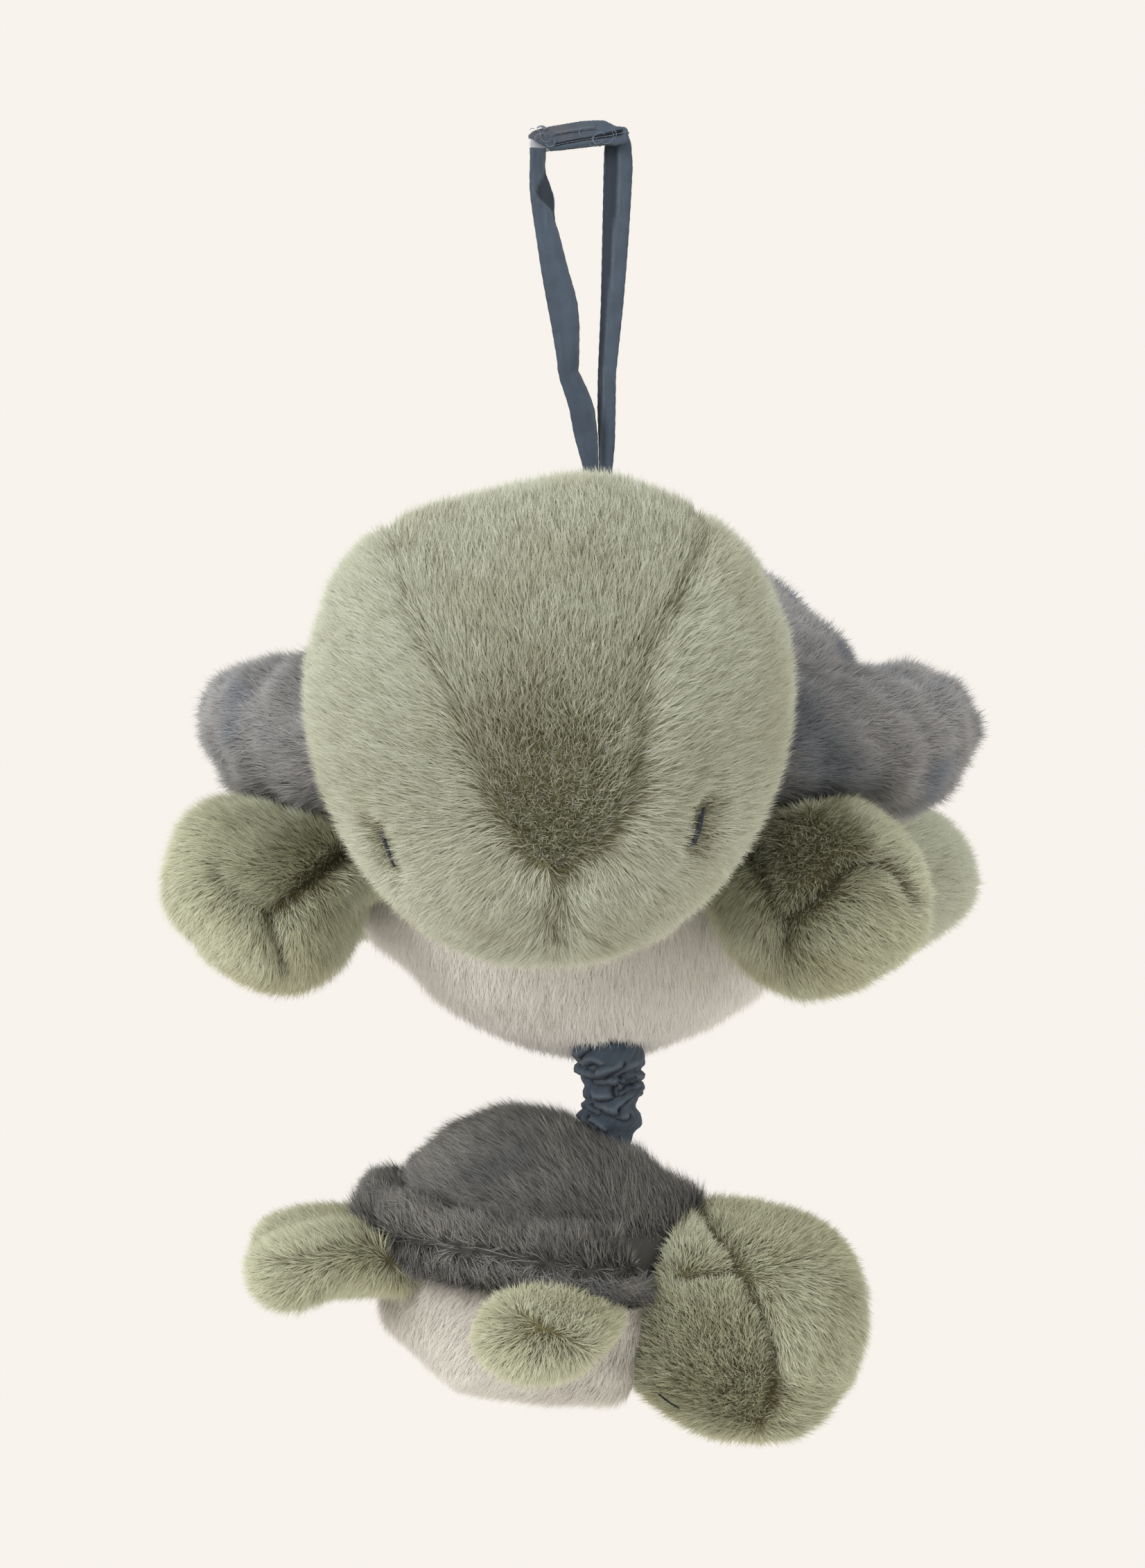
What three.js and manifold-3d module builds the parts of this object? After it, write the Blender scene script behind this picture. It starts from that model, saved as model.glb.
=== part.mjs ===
// A pull-string musical plush turtle. A mother turtle hangs from a cloth strap loop with a
// hook-and-loop closure. Her belly holds a music movement, and its pull cord comes out through a
// gathered cloth sleeve and carries a baby turtle. Millimetres, +Z up. The origin is on the lower
// edge of the strap's top band, where the loop bears on a rail. The mother faces -Y.
// In each turtle's own frame she faces -Y, +X is her left, and the origin is the middle of her rim.
import * as THREE from 'three';
import { mergeVertices } from 'three/addons/utils/BufferGeometryUtils.js';
import Module from 'manifold-3d';

// Fits and faceting
const seamGap = 0.3;          // between pieces that are sewn, seated or stacked together
const runGap = 0.35;          // round a shaft or pin that turns in its hole
const cutOver = 1;            // how far a cutting tool passes a face

// Strap loop
const strapWidth = 7.6;
const strapThick = 1.6;
const bandLength = 28;
const bandHeight = 7.2;
const tapeThick = 0.8;
const tapeLength = 20;
const tapeHeight = 6;
const labelLength = 4.6;
const labelHeight = 5.6;
const labelDrop = 1;
const strapRings = 18;
const backLegTop = 3;         // how far the back leg runs up into the band

// Mother turtle, placed from the band's lower edge
const motherAcross = 2;
const motherBack = 40;
const motherDrop = 160;
const motherYaw = -5;
const mother = {
  name: 'mother', around: 26, domeRows: 6, bellyRows: 7, rimSteps: 30, rimSides: 8,
  halfWidth: 75, halfLength: 74, domeHeight: 69, bellyDepth: 88, wall: 5,
  domeFullShare: 1.6, domeTopShare: 0.7,
  rimHalfWidth: 106, rimHalfLength: 99, rimRollWidth: 36, rimRollHeight: 38, rimLift: -1,
  headAround: 24, headRows: 14, headHalfWidth: 62, headHalfHeight: 60, headHalfLength: 62,
  headForward: 126, headRise: 4, headPitch: 42, muzzleShare: 0.19,
  eyeLength: 10, eyeThick: 1.6, eyeSide: 41, eyeDown: 3, eyeLean: 62,
  flipperRows: 9, flipperSides: 12,
};
const motherFront = { low: 34, dip: 18, length: 70, width: 53, thick: 51 };
const motherRear = { low: 28, dip: 16, length: 84, width: 56, thick: 44 };
mother.flippers = [
  { ...motherFront, name: 'front_left', place: 54, aim: 22, roll: 12 },
  { ...motherFront, name: 'front_right', place: -66, aim: -34, roll: -12 },
  { ...motherRear, name: 'rear_left', place: 140, aim: 142, roll: -6 },
  { ...motherRear, name: 'rear_right', place: -140, aim: -146, roll: 6 },
];
const strapFootShare = 0.667; // of the dome's height above the rim's middle, just inside the skin
const strapDrop = motherDrop - mother.domeHeight * strapFootShare;

// Baby turtle, hung so that its cord comes out in front of the top of its shell
const babyYaw = 90;
const babyPitch = 10;
const baby = {
  name: 'baby', around: 22, domeRows: 5, bellyRows: 5, rimSteps: 24, rimSides: 7,
  halfWidth: 38, halfLength: 42, domeHeight: 33, bellyDepth: 43, wall: 3,
  domeFullShare: 2.8, domeTopShare: 0.75,
  rimHalfWidth: 51, rimHalfLength: 51, rimRollWidth: 18, rimRollHeight: 19, rimLift: 0.5,
  headAround: 20, headRows: 11, headHalfWidth: 31.5, headHalfHeight: 32.5, headHalfLength: 33,
  headForward: 60, headRise: -12.5, headPitch: 88, muzzleShare: 0.18,
  eyeLength: 8, eyeThick: 0.9, eyeSide: 18.4, eyeDown: 18, eyeLean: 100,
  flipperRows: 7, flipperSides: 10,
};
const babyFront = { low: 17, dip: 15, length: 42, width: 33, thick: 23, roll: 0 };
const babyRear = { low: 9, dip: 10, length: 44, width: 30, thick: 23, roll: 0 };
baby.flippers = [
  { ...babyFront, name: 'front_left', place: 68, aim: 112 },
  { ...babyFront, name: 'front_right', place: -68, aim: -112 },
  { ...babyRear, name: 'rear_left', place: 152, aim: 158 },
  { ...babyRear, name: 'rear_right', place: -152, aim: -158 },
];
const flapDegrees = 12;       // how far a flipper flaps each way
const flapShares = [-1, -0.5, 0, 0.5, 1];
const rootSunkShare = 0.22;   // of a flipper's length that starts inside the body

// Pull cord and its sleeve, in the mother's frame
const cordAcross = 8.3;
const cordForward = 17.3;
const cordDiameter = 1.6;
const cordSides = 8;
const pivotRise = 1.5;        // the cord bends this far above the belly's skin
const sleeveLength = 29;      // between the two skins
const sleeveRadius = 9;
const sleeveNeck = 4.4;       // where it goes in through either skin
const sleeveBore = 2.4;
const sleeveFolds = 4;
const sleeveAround = 16;
const foldRows = 5;
const foldTwistShare = 1.1;
const foldDepthShare = 0.24;
const foldStrayShare = 0.09;
const footShare = 0.72;       // of the foot's neck that widens to the last fold
const neckTop = 4;            // from the belly's skin down to the first full fold
const neckFoot = 5;           // from the last full fold down to the baby's skin
const sleeveSunk = 2;         // how far the lower end goes in past the baby's skin
const collarHeight = 1.6;
const holeRoom = 1.4;         // round the sleeve's neck, so that it can tilt
const attachForward = 16;     // of the cord's hole in the baby's shell, from the rim's middle
const washerRadius = 5;
const washerThick = 1.6;
const knotLength = 3.2;
const knotRadius = 1.9;
const pocketDepth = 17;
const washerDepth = 8.7;

// Music movement
const caseRadius = 25.8;
const caseWall = 1.8;
const caseDepth = 26;
const drumRadius = 10;        // to the middle of the cord that is wound on it
const drumLow = 45;           // of the drum's shaft below the rim's middle
const drumFlange = 11.8;
const flangeThick = 1;
const drumLength = 13;
const drumWall = 1.4;
const windTurns = 2.5;
const windSteps = 16;
const windSides = 6;
const windPitch = 1.9;
const windGap = 0.4;
const shaftRadius = 1.5;
const springTurns = 3.5;
const springThick = 0.6;
const springHeight = 8;
const springSteps = 14;
const plateThick = 1.5;
const wheelModule = 0.8;
const wheelTeeth = 32;
const pinionTeeth = 14;
const gearThick = 2.4;
const trainModule = 0.6;
const trainTeeth = 22;
const fanTeeth = 8;
const toneRadius = 5;
const tonePinRise = 0.6;
const tonePinWidth = 0.7;
const tonePinRings = 5;
const tonePinsRound = 3;
const toneShaftRadius = 1.1;
const fanShaftRadius = 0.8;
const fanReach = 3;
const fanThick = 0.8;
const fanLength = 9;
const combThick = 0.9;
const combLength = 7.4;
const combTeeth = 7;
const combSlot = 0.5;
const combSlotShare = 0.62;
const combPostHeight = 4;
const screwRadius = 1.2;
const screwHead = 2;
const screwHeadHeight = 1.1;
const screwFacets = 10;
const screwReach = 8;         // past the case's front face
const screwRing = 21.2;
const screwAngles = [200, 320, 80];
const nozzleRadius = 3.4;
const nozzleBore = 1.4;
const grommetRadius = 4.6;
const grommetThick = 1;
const grommetLift = 2.4;      // over the middle of the sloping backing under it
const trainAngle = 120;       // of the tone cylinder from the drum, seen from the front
const fanAngle = 30;
const casePlaceShare = 0.4;   // of the way from the drum to the cylinder
const caseSegments = 36;
const smallSegments = 14;

const sage = new THREE.MeshStandardMaterial({ color: 0xb4b498, roughness: 0.95 });
const grey = new THREE.MeshStandardMaterial({ color: 0x8d8f92, roughness: 0.95 });
const cream = new THREE.MeshStandardMaterial({ color: 0xd2cdc6, roughness: 0.95 });
const slate = new THREE.MeshStandardMaterial({ color: 0x526272, roughness: 0.85 });
const darkTape = new THREE.MeshStandardMaterial({ color: 0x3b4652, roughness: 0.9 });
const whiteTape = new THREE.MeshStandardMaterial({ color: 0xe8e8ea, roughness: 0.8 });
const thread = new THREE.MeshStandardMaterial({ color: 0x283040, roughness: 0.6 });
const fibre = new THREE.MeshStandardMaterial({ color: 0xf2f1ec, roughness: 1 });
const plastic = new THREE.MeshStandardMaterial({ color: 0xe6e6e2, roughness: 0.5 });
const steel = new THREE.MeshStandardMaterial({ color: 0xb8babd, roughness: 0.35, metalness: 1 });
const brass = new THREE.MeshStandardMaterial({ color: 0xc8a45a, roughness: 0.35, metalness: 1 });
const cordCloth = new THREE.MeshStandardMaterial({ color: 0xe9e7e0, roughness: 0.8 });

const wasm = await Module();
wasm.setup();

const radians = THREE.MathUtils.degToRad;
const turn = 2 * Math.PI;

// Solids

function facingOut(geometry) {
  const place = geometry.getAttribute('position');
  const index = geometry.index.array;
  const a = new THREE.Vector3();
  const b = new THREE.Vector3();
  const c = new THREE.Vector3();
  let volume = 0;
  for (let i = 0; i < index.length; i += 3) {
    a.fromBufferAttribute(place, index[i]);
    b.fromBufferAttribute(place, index[i + 1]);
    c.fromBufferAttribute(place, index[i + 2]);
    volume += a.dot(b.cross(c));
  }
  if (volume < 0) {
    for (let i = 0; i < index.length; i += 3) {
      [index[i], index[i + 1]] = [index[i + 1], index[i]];
    }
  }
  return geometry;
}

function fromLists(places, index) {
  const geometry = new THREE.BufferGeometry();
  geometry.setAttribute('position', new THREE.Float32BufferAttribute(places.flatMap((p) => p.toArray()), 3));
  geometry.setIndex(index);
  return facingOut(geometry);
}

// A closed skin through rings of equal counts, closed at each end by one point.
function loft(rings, first, last) {
  const count = rings[0].length;
  const places = [...rings.flat(), first, last];
  const index = [];
  const firstAt = rings.length * count;
  const ringEnd = (rings.length - 1) * count;
  for (let j = 0; j < count; j += 1) {
    const k = (j + 1) % count;
    index.push(firstAt, k, j, firstAt + 1, ringEnd + j, ringEnd + k);
    for (let i = 0; i + 1 < rings.length; i += 1) {
      const here = i * count;
      const next = here + count;
      index.push(here + j, here + k, next + j, here + k, next + k, next + j);
    }
  }
  return fromLists(places, index);
}

// A closed skin through rings that come back to the first one.
function loopLoft(rings) {
  const count = rings[0].length;
  const index = [];
  for (let i = 0; i < rings.length; i += 1) {
    const here = i * count;
    const next = ((i + 1) % rings.length) * count;
    for (let j = 0; j < count; j += 1) {
      const k = (j + 1) % count;
      index.push(here + j, here + k, next + j, here + k, next + k, next + j);
    }
  }
  return fromLists(rings.flat(), index);
}

function middleOf(ring) {
  const sum = ring.reduce((total, p) => total.add(p), new THREE.Vector3());
  return sum.divideScalar(ring.length);
}

function cappedLoft(rings) {
  return loft(rings, middleOf(rings[0]), middleOf(rings[rings.length - 1]));
}

function plain(geometry) {
  const copy = geometry.clone();
  copy.deleteAttribute('normal');
  copy.deleteAttribute('uv');
  return mergeVertices(copy);
}

function asSolid(geometry) {
  const merged = plain(geometry);
  return new wasm.Manifold(new wasm.Mesh({
    numProp: 3,
    vertProperties: new Float32Array(merged.getAttribute('position').array),
    triVerts: new Uint32Array(merged.index.array),
  }));
}

function asGeometry(solid) {
  const mesh = solid.getMesh();
  const geometry = new THREE.BufferGeometry();
  geometry.setAttribute('position', new THREE.Float32BufferAttribute(mesh.vertProperties, 3));
  geometry.setIndex([...mesh.triVerts]);
  return geometry;
}

function joined(first, ...others) {
  return asGeometry(others.reduce((solid, g) => solid.add(asSolid(g)), asSolid(first)));
}

function cut(first, ...tools) {
  return asGeometry(tools.reduce((solid, g) => solid.subtract(asSolid(g)), asSolid(first)));
}

function piece(name, geometry, material) {
  const mesh = new THREE.Mesh(geometry, material);
  mesh.name = name;
  return mesh;
}

function block(low, high) {
  const size = new THREE.Vector3().subVectors(high, low);
  const geometry = new THREE.BoxGeometry(size.x, size.y, size.z);
  geometry.translate(low.x + size.x / 2, low.y + size.y / 2, low.z + size.z / 2);
  return geometry;
}

// A round bar along Y from y to y + length, with its middle at x and z.
function barAlongY(radius, y, length, x, z, segments) {
  const geometry = new THREE.CylinderGeometry(radius, radius, length, segments);
  return geometry.translate(x, y + length / 2, z);
}

function barAlongZ(radius, top, length, x, y, segments) {
  const geometry = new THREE.CylinderGeometry(radius, radius, length, segments);
  return geometry.rotateX(Math.PI / 2).translate(x, y, top - length / 2);
}

// Plush forms, in a turtle's own frame

const bellyFullShare = 2.2;

function domeRise(t, share) {
  return Math.max(0, 1 - share ** t.domeFullShare) ** t.domeTopShare;
}

function bellyFall(t, share) {
  return Math.sqrt(Math.max(0, 1 - share ** bellyFullShare));
}

// One half of the body's skin as rings from the pole out to the rim. inset is how far it lies inside.
function halfRings(t, height, rows, rise, inset, floor) {
  const rings = [];
  for (let i = 1; i <= rows; i += 1) {
    const share = Math.sin((i / rows) * (Math.PI / 2));
    const z = height > 0 ? Math.max(floor, (height - inset) * rise(t, share))
      : Math.min(floor, (height + inset) * rise(t, share));
    const ring = [];
    for (let j = 0; j < t.around; j += 1) {
      const angle = (j / t.around) * turn;
      const x = (t.halfWidth - inset) * share * Math.sin(angle);
      const y = (t.halfLength - inset) * share * Math.cos(angle);
      ring.push(new THREE.Vector3(x, y, z));
    }
    rings.push(ring);
  }
  return rings;
}

function pole(height, inset) {
  return new THREE.Vector3(0, 0, height > 0 ? height - inset : height + inset);
}

// A cover is a cup: its outer skin, the seam edge and its inner skin.
function bodyCover(t, height, rows, rise, edge) {
  const outer = halfRings(t, height, rows, rise, 0, edge);
  const inner = halfRings(t, height, rows, rise, t.wall, edge);
  return loft([...outer, ...inner.reverse()], pole(height, 0), pole(height, t.wall));
}

function bodySkin(t, inset) {
  const top = halfRings(t, t.domeHeight, t.domeRows, domeRise, inset, 0);
  const bottom = halfRings(t, -t.bellyDepth, t.bellyRows, bellyFall, inset, 0);
  bottom.pop();
  return loft([...top, ...bottom.reverse()], pole(t.domeHeight, inset), pole(-t.bellyDepth, inset));
}

const rimWaves = 5;
const rimWaveShare = 0.05;

// The padded roll that is sewn round the shell's edge.
function rimRoll(t, grow) {
  const rings = [];
  for (let i = 0; i < t.rimSteps; i += 1) {
    const angle = (i / t.rimSteps) * turn;
    const swell = 1 + rimWaveShare * Math.sin(rimWaves * angle);
    const ring = [];
    for (let j = 0; j < t.rimSides; j += 1) {
      const lean = (j / t.rimSides) * turn;
      const out = (t.rimRollWidth / 2 * swell + grow) * Math.cos(lean) - t.rimRollWidth / 2;
      const up = (t.rimRollHeight / 2 * swell + grow) * Math.sin(lean) + t.rimLift;
      const x = (t.rimHalfWidth + out) * Math.sin(angle);
      const y = (t.rimHalfLength + out) * Math.cos(angle);
      ring.push(new THREE.Vector3(x, y, up));
    }
    rings.push(ring);
  }
  return loopLoft(rings);
}

const headFull = 2.2;        // 2 would be an ellipsoid, more is squarer
const reachPasses = 5;        // the muzzle's width depends on the reach that is being found
const muzzleStartShare = -0.35;

// From the head's middle to its skin along a direction given as side, crown and nose shares.
function headReach(t, side, crown, nose, grow) {
  let reach = t.headHalfWidth;
  for (let i = 0; i < reachPasses; i += 1) {
    const ahead = (reach * nose) / t.headHalfLength;
    const along = THREE.MathUtils.smoothstep(ahead, muzzleStartShare, 1);
    const width = (t.headHalfWidth + grow) * (1 - t.muzzleShare * along);
    const sum = Math.abs(side / width) ** headFull
      + Math.abs(crown / (t.headHalfHeight + grow)) ** headFull
      + Math.abs(nose / (t.headHalfLength + grow)) ** headFull;
    reach = sum ** (-1 / headFull);
  }
  return reach;
}

function headMiddle(t) {
  return new THREE.Vector3(0, -t.headForward, t.headRise);
}

// A point given from the head's middle as side, crown and nose, in the turtle's frame.
function fromHead(t, side, crown, nose) {
  const pitch = radians(t.headPitch);
  const y = -nose * Math.cos(pitch) - crown * Math.sin(pitch);
  const z = -nose * Math.sin(pitch) + crown * Math.cos(pitch);
  return new THREE.Vector3(side, y, z).add(headMiddle(t));
}

function headPoint(t, side, crown, nose, grow) {
  const length = Math.hypot(side, crown, nose);
  const reach = headReach(t, side / length, crown / length, nose / length, grow);
  return fromHead(t, (side / length) * reach, (crown / length) * reach, (nose / length) * reach);
}

function headSkin(t, grow) {
  const rings = [];
  for (let i = 1; i < t.headRows; i += 1) {
    const along = (i / t.headRows) * Math.PI;
    const ring = [];
    for (let j = 0; j < t.headAround; j += 1) {
      const angle = (j / t.headAround) * turn;
      const out = Math.sin(along);
      ring.push(headPoint(t, out * Math.sin(angle), out * Math.cos(angle), -Math.cos(along), grow));
    }
    rings.push(ring);
  }
  return loft(rings, headPoint(t, 0, 0, -1, grow), headPoint(t, 0, 0, 1, grow));
}

const eyeSteps = 5;
const eyeSides = 6;
const eyeBowShare = 0.12;
const eyeEndShare = 0.75;     // how far the stitches thin towards the ends

// A closed eye: a short bowed line of satin stitches that lies on the head's skin.
function eyeStitch(t, side) {
  const lean = radians(t.eyeLean);
  const rings = [];
  for (let i = 0; i <= eyeSteps; i += 1) {
    const along = i / eyeSteps - 1 / 2;
    const bow = t.eyeLength * eyeBowShare * (1 - 4 * along * along);
    const across = t.eyeLength * along * Math.cos(lean);
    const down = t.eyeLength * along * Math.sin(lean) + bow;
    const nose = Math.sqrt(t.headHalfLength ** 2 - t.eyeSide ** 2 - t.eyeDown ** 2);
    const at = [side * (t.eyeSide - across), -t.eyeDown - down, nose];
    const inner = headPoint(t, ...at, seamGap);
    const outer = headPoint(t, ...at, seamGap + t.eyeThick);
    const up = headPoint(t, at[0], at[1] + t.eyeThick, at[2], seamGap).sub(inner);
    const sideways = headPoint(t, at[0] + side * t.eyeThick, at[1], at[2], seamGap).sub(inner);
    const thin = Math.sqrt(1 - (2 * along) ** 2 * eyeEndShare);
    const middle = inner.clone().add(outer).divideScalar(2);
    const normal = outer.clone().sub(inner).divideScalar(2);
    const wide = up.multiplyScalar(Math.cos(lean)).addScaledVector(sideways, Math.sin(lean)).divideScalar(2);
    const ring = [];
    for (let j = 0; j < eyeSides; j += 1) {
      const angle = (j / eyeSides) * turn;
      const p = middle.clone().addScaledVector(normal, thin * Math.cos(angle));
      ring.push(p.addScaledVector(wide, thin * Math.sin(angle)));
    }
    rings.push(ring);
  }
  return cappedLoft(rings);
}

const fullestShare = 0.58;    // along a flipper, where it is widest
const flipperRootShare = 0.62;
const tipFull = 2.3;          // 2 would be an ellipse, more is blunter

function flipperFrame(t, f) {
  const place = radians(f.place);
  const aim = radians(f.aim);
  const dip = radians(f.dip);
  const along = new THREE.Vector3(
    Math.sin(aim) * Math.cos(dip), -Math.cos(aim) * Math.cos(dip), -Math.sin(dip));
  const share = Math.sqrt(1 - (f.low / t.bellyDepth) ** 2);
  const seat = new THREE.Vector3(
    t.halfWidth * share * Math.sin(place), -t.halfLength * share * Math.cos(place), -f.low);
  const level = new THREE.Vector3(Math.cos(aim), Math.sin(aim), 0);
  const wide = level.clone().applyAxisAngle(along, radians(f.roll));
  const thick = new THREE.Vector3().crossVectors(along, wide);
  const root = seat.clone().addScaledVector(along, -f.length * rootSunkShare);
  return { along, seat, level, wide, thick, root };
}

function flipperFull(share) {
  if (share < fullestShare) {
    const rise = Math.sin((share / fullestShare) * (Math.PI / 2));
    return flipperRootShare + (1 - flipperRootShare) * rise;
  }
  return Math.max(0, 1 - ((share - fullestShare) / (1 - fullestShare)) ** tipFull) ** (1 / tipFull);
}

function flipperSkin(t, f) {
  const frame = flipperFrame(t, f);
  const rings = [];
  for (let i = 0; i < t.flipperRows; i += 1) {
    const share = Math.sin((i / t.flipperRows) * (Math.PI / 2));
    const full = flipperFull(share);
    const ring = [];
    for (let j = 0; j < t.flipperSides; j += 1) {
      const angle = (j / t.flipperSides) * turn;
      const p = frame.root.clone().addScaledVector(frame.along, share * f.length * (1 + rootSunkShare));
      p.addScaledVector(frame.wide, (f.width / 2) * full * Math.cos(angle));
      p.addScaledVector(frame.thick, (f.thick / 2) * full * Math.sin(angle));
      ring.push(p);
    }
    rings.push(ring);
  }
  const tip = frame.root.clone().addScaledVector(frame.along, f.length * (1 + rootSunkShare));
  return loft(rings, frame.root, tip);
}

// A flipper is cut back from the larger pieces, also where its flap would bring it into them.
function flipper(t, f, larger) {
  const frame = flipperFrame(t, f);
  let solid = asSolid(flipperSkin(t, f));
  for (const share of flapShares) {
    const swing = new THREE.Matrix4().makeRotationAxis(frame.level, -share * radians(flapDegrees));
    const move = new THREE.Matrix4().makeTranslation(frame.seat)
      .multiply(swing)
      .multiply(new THREE.Matrix4().makeTranslation(frame.seat.clone().negate()));
    for (const g of larger) {
      solid = solid.subtract(asSolid(g.clone().applyMatrix4(move)));
    }
  }
  return asGeometry(solid);
}

// The pieces that both turtles have. A cover that something passes through is cut by holes.
function turtle(t, holes) {
  const group = new THREE.Group();
  const body = bodySkin(t, -seamGap);
  const head = headSkin(t, 0);
  const rim = cut(rimRoll(t, 0), body, headSkin(t, seamGap));
  const dome = bodyCover(t, t.domeHeight, t.domeRows, domeRise, seamGap / 2);
  const belly = bodyCover(t, -t.bellyDepth, t.bellyRows, bellyFall, -seamGap / 2);
  const filling = bodySkin(t, t.wall + seamGap);
  group.add(piece(`${t.name}_shell`, cut(dome, ...holes.shell), grey));
  group.add(piece(`${t.name}_rim_roll`, rim, grey));
  group.add(piece(`${t.name}_belly`, cut(belly, ...holes.belly), cream));
  group.add(piece(`${t.name}_filling`, cut(filling, ...holes.filling), fibre));
  group.add(piece(`${t.name}_head`, cut(head, body), sage));
  group.add(piece(`${t.name}_eye_left`, eyeStitch(t, 1), thread));
  group.add(piece(`${t.name}_eye_right`, eyeStitch(t, -1), thread));
  const larger = [body, rimRoll(t, seamGap), headSkin(t, seamGap)];
  for (const f of t.flippers) {
    group.add(piece(`${t.name}_flipper_${f.name}`, flipper(t, f, larger), sage));
  }
  return group;
}

// Strap loop: the two legs of one folded cloth tape, and the hook-and-loop closure between its ends

const backLayerFront = -strapThick / 2;
const loopTapeFront = backLayerFront - seamGap - tapeThick;
const hookTapeFront = loopTapeFront - seamGap - tapeThick;
const flapFront = hookTapeFront - seamGap - strapThick;
const frontLegMiddle = flapFront + strapThick / 2;

// Each leg as shares: across of half the band's length, down of the drop, turn in degrees.
const backLegShares = [
  [0.76, 0, 0], [0.72, 0.12, 0], [0.68, 0.24, 8], [0.63, 0.36, 15], [0.58, 0.48, 15],
  [0.54, 0.6, 8], [0.51, 0.72, 0], [0.49, 0.86, 0], [0.46, 1, 0],
];
const frontLegShares = [
  [-0.82, 0, 0], [-0.81, 0.1, -40], [-0.64, 0.22, -20], [-0.44, 0.33, 0], [-0.3, 0.43, 0],
  [-0.2, 0.53, 0], [0.02, 0.64, 0], [0.14, 0.77, 0], [0.16, 1, 0],
];

// middle and foot are the leg's places from front to back at its top and at its bottom.
function strapLeg(shares, middle, foot, top, bottom) {
  const half = bandLength / 2;
  const route = new THREE.CatmullRomCurve3(shares.map(([across, down]) => new THREE.Vector3(
    across * half, THREE.MathUtils.lerp(middle, foot, down), THREE.MathUtils.lerp(top, bottom, down))));
  const rings = [];
  for (let i = 0; i < strapRings; i += 1) {
    const share = i / (strapRings - 1);
    const p = route.getPoint(share);
    const at = share * (shares.length - 1);
    const before = shares[Math.floor(at)];
    const after = shares[Math.ceil(at)];
    const angle = radians(THREE.MathUtils.lerp(before[2], after[2], at - Math.floor(at)));
    const wide = new THREE.Vector3(Math.cos(angle), Math.sin(angle), 0).multiplyScalar(strapWidth / 2);
    const thick = new THREE.Vector3(-Math.sin(angle), Math.cos(angle), 0).multiplyScalar(strapThick / 2);
    rings.push([
      p.clone().add(wide).add(thick), p.clone().sub(wide).add(thick),
      p.clone().sub(wide).sub(thick), p.clone().add(wide).sub(thick),
    ]);
  }
  return cappedLoft(rings);
}

function strapLoop(shellCutter) {
  const group = new THREE.Group();
  const half = bandLength / 2;
  const back = block(
    new THREE.Vector3(-half, backLayerFront, 0),
    new THREE.Vector3(half, -backLayerFront, bandHeight));
  const flap = block(
    new THREE.Vector3(-half, flapFront, 0),
    new THREE.Vector3(half, hookTapeFront - seamGap, bandHeight));
  const tapeLow = (bandHeight - tapeHeight) / 2;
  const hook = block(
    new THREE.Vector3(half - tapeLength, hookTapeFront, tapeLow),
    new THREE.Vector3(half, hookTapeFront + tapeThick, tapeLow + tapeHeight));
  const loop = block(
    new THREE.Vector3(half - tapeLength, loopTapeFront, tapeLow),
    new THREE.Vector3(half, loopTapeFront + tapeThick, tapeLow + tapeHeight));
  const label = block(
    new THREE.Vector3(-half, loopTapeFront, -labelDrop),
    new THREE.Vector3(-half + labelLength, loopTapeFront + tapeThick, labelHeight - labelDrop));
  const frontFoot = -strapThick - 2 * seamGap;
  const backLeg = strapLeg(backLegShares, 0, 0, backLegTop, -strapDrop);
  const frontLeg = strapLeg(frontLegShares, frontLegMiddle, frontFoot, -seamGap, -strapDrop);
  const backStrap = cut(joined(back, backLeg), shellCutter);
  group.add(piece('strap_back', backStrap, slate));
  group.add(piece('strap_front', cut(frontLeg, shellCutter), slate));
  group.add(piece('closure_flap', flap, slate));
  group.add(piece('hook_tape', hook, darkTape));
  group.add(piece('loop_tape', loop, darkTape));
  group.add(piece('tape_end', label, whiteTape));
  return group;
}

// Music movement, in the mother's frame: the shafts run along Y, and the cord leaves downwards

const drumX = cordAcross - drumRadius;
const drumZ = -drumLow;
const wheelRadius = (wheelModule * wheelTeeth) / 2;
const pinionRadius = (wheelModule * pinionTeeth) / 2;
const toneFromDrum = wheelRadius + pinionRadius;
const toneX = drumX + toneFromDrum * Math.cos(radians(trainAngle));
const toneZ = drumZ + toneFromDrum * Math.sin(radians(trainAngle));
const fanFromTone = (trainModule * (trainTeeth + fanTeeth)) / 2;
const fanX = toneX + fanFromTone * Math.cos(radians(fanAngle));
const fanZ = toneZ + fanFromTone * Math.sin(radians(fanAngle));
const caseX = drumX + (toneX - drumX) * casePlaceShare;
const caseZ = drumZ + (toneZ - drumZ) * casePlaceShare;
const caseFront = -cordForward - caseDepth / 2;
const caseBack = caseFront + caseDepth;
const insideFront = caseFront + caseWall;
const insideBack = caseBack - caseWall;
const plateBack = insideBack - seamGap;
const plateFront = plateBack - plateThick;
const wheelBack = plateFront - seamGap;
const wheelFront = wheelBack - gearThick;
const drumBack = wheelFront - seamGap * 2;
const drumFront = drumBack - drumLength;
const trainBack = drumFront;
const trainFront = insideFront + seamGap;
const jointPlane = caseFront + caseDepth / 2;
const windStart = -cordForward;
const cordCore = drumRadius - cordDiameter / 2;

const toothTopShare = 0.75;
const toothRootShare = 1.15;
const toothFootShare = 0.27;
const toothTipShare = 0.12;

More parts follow.
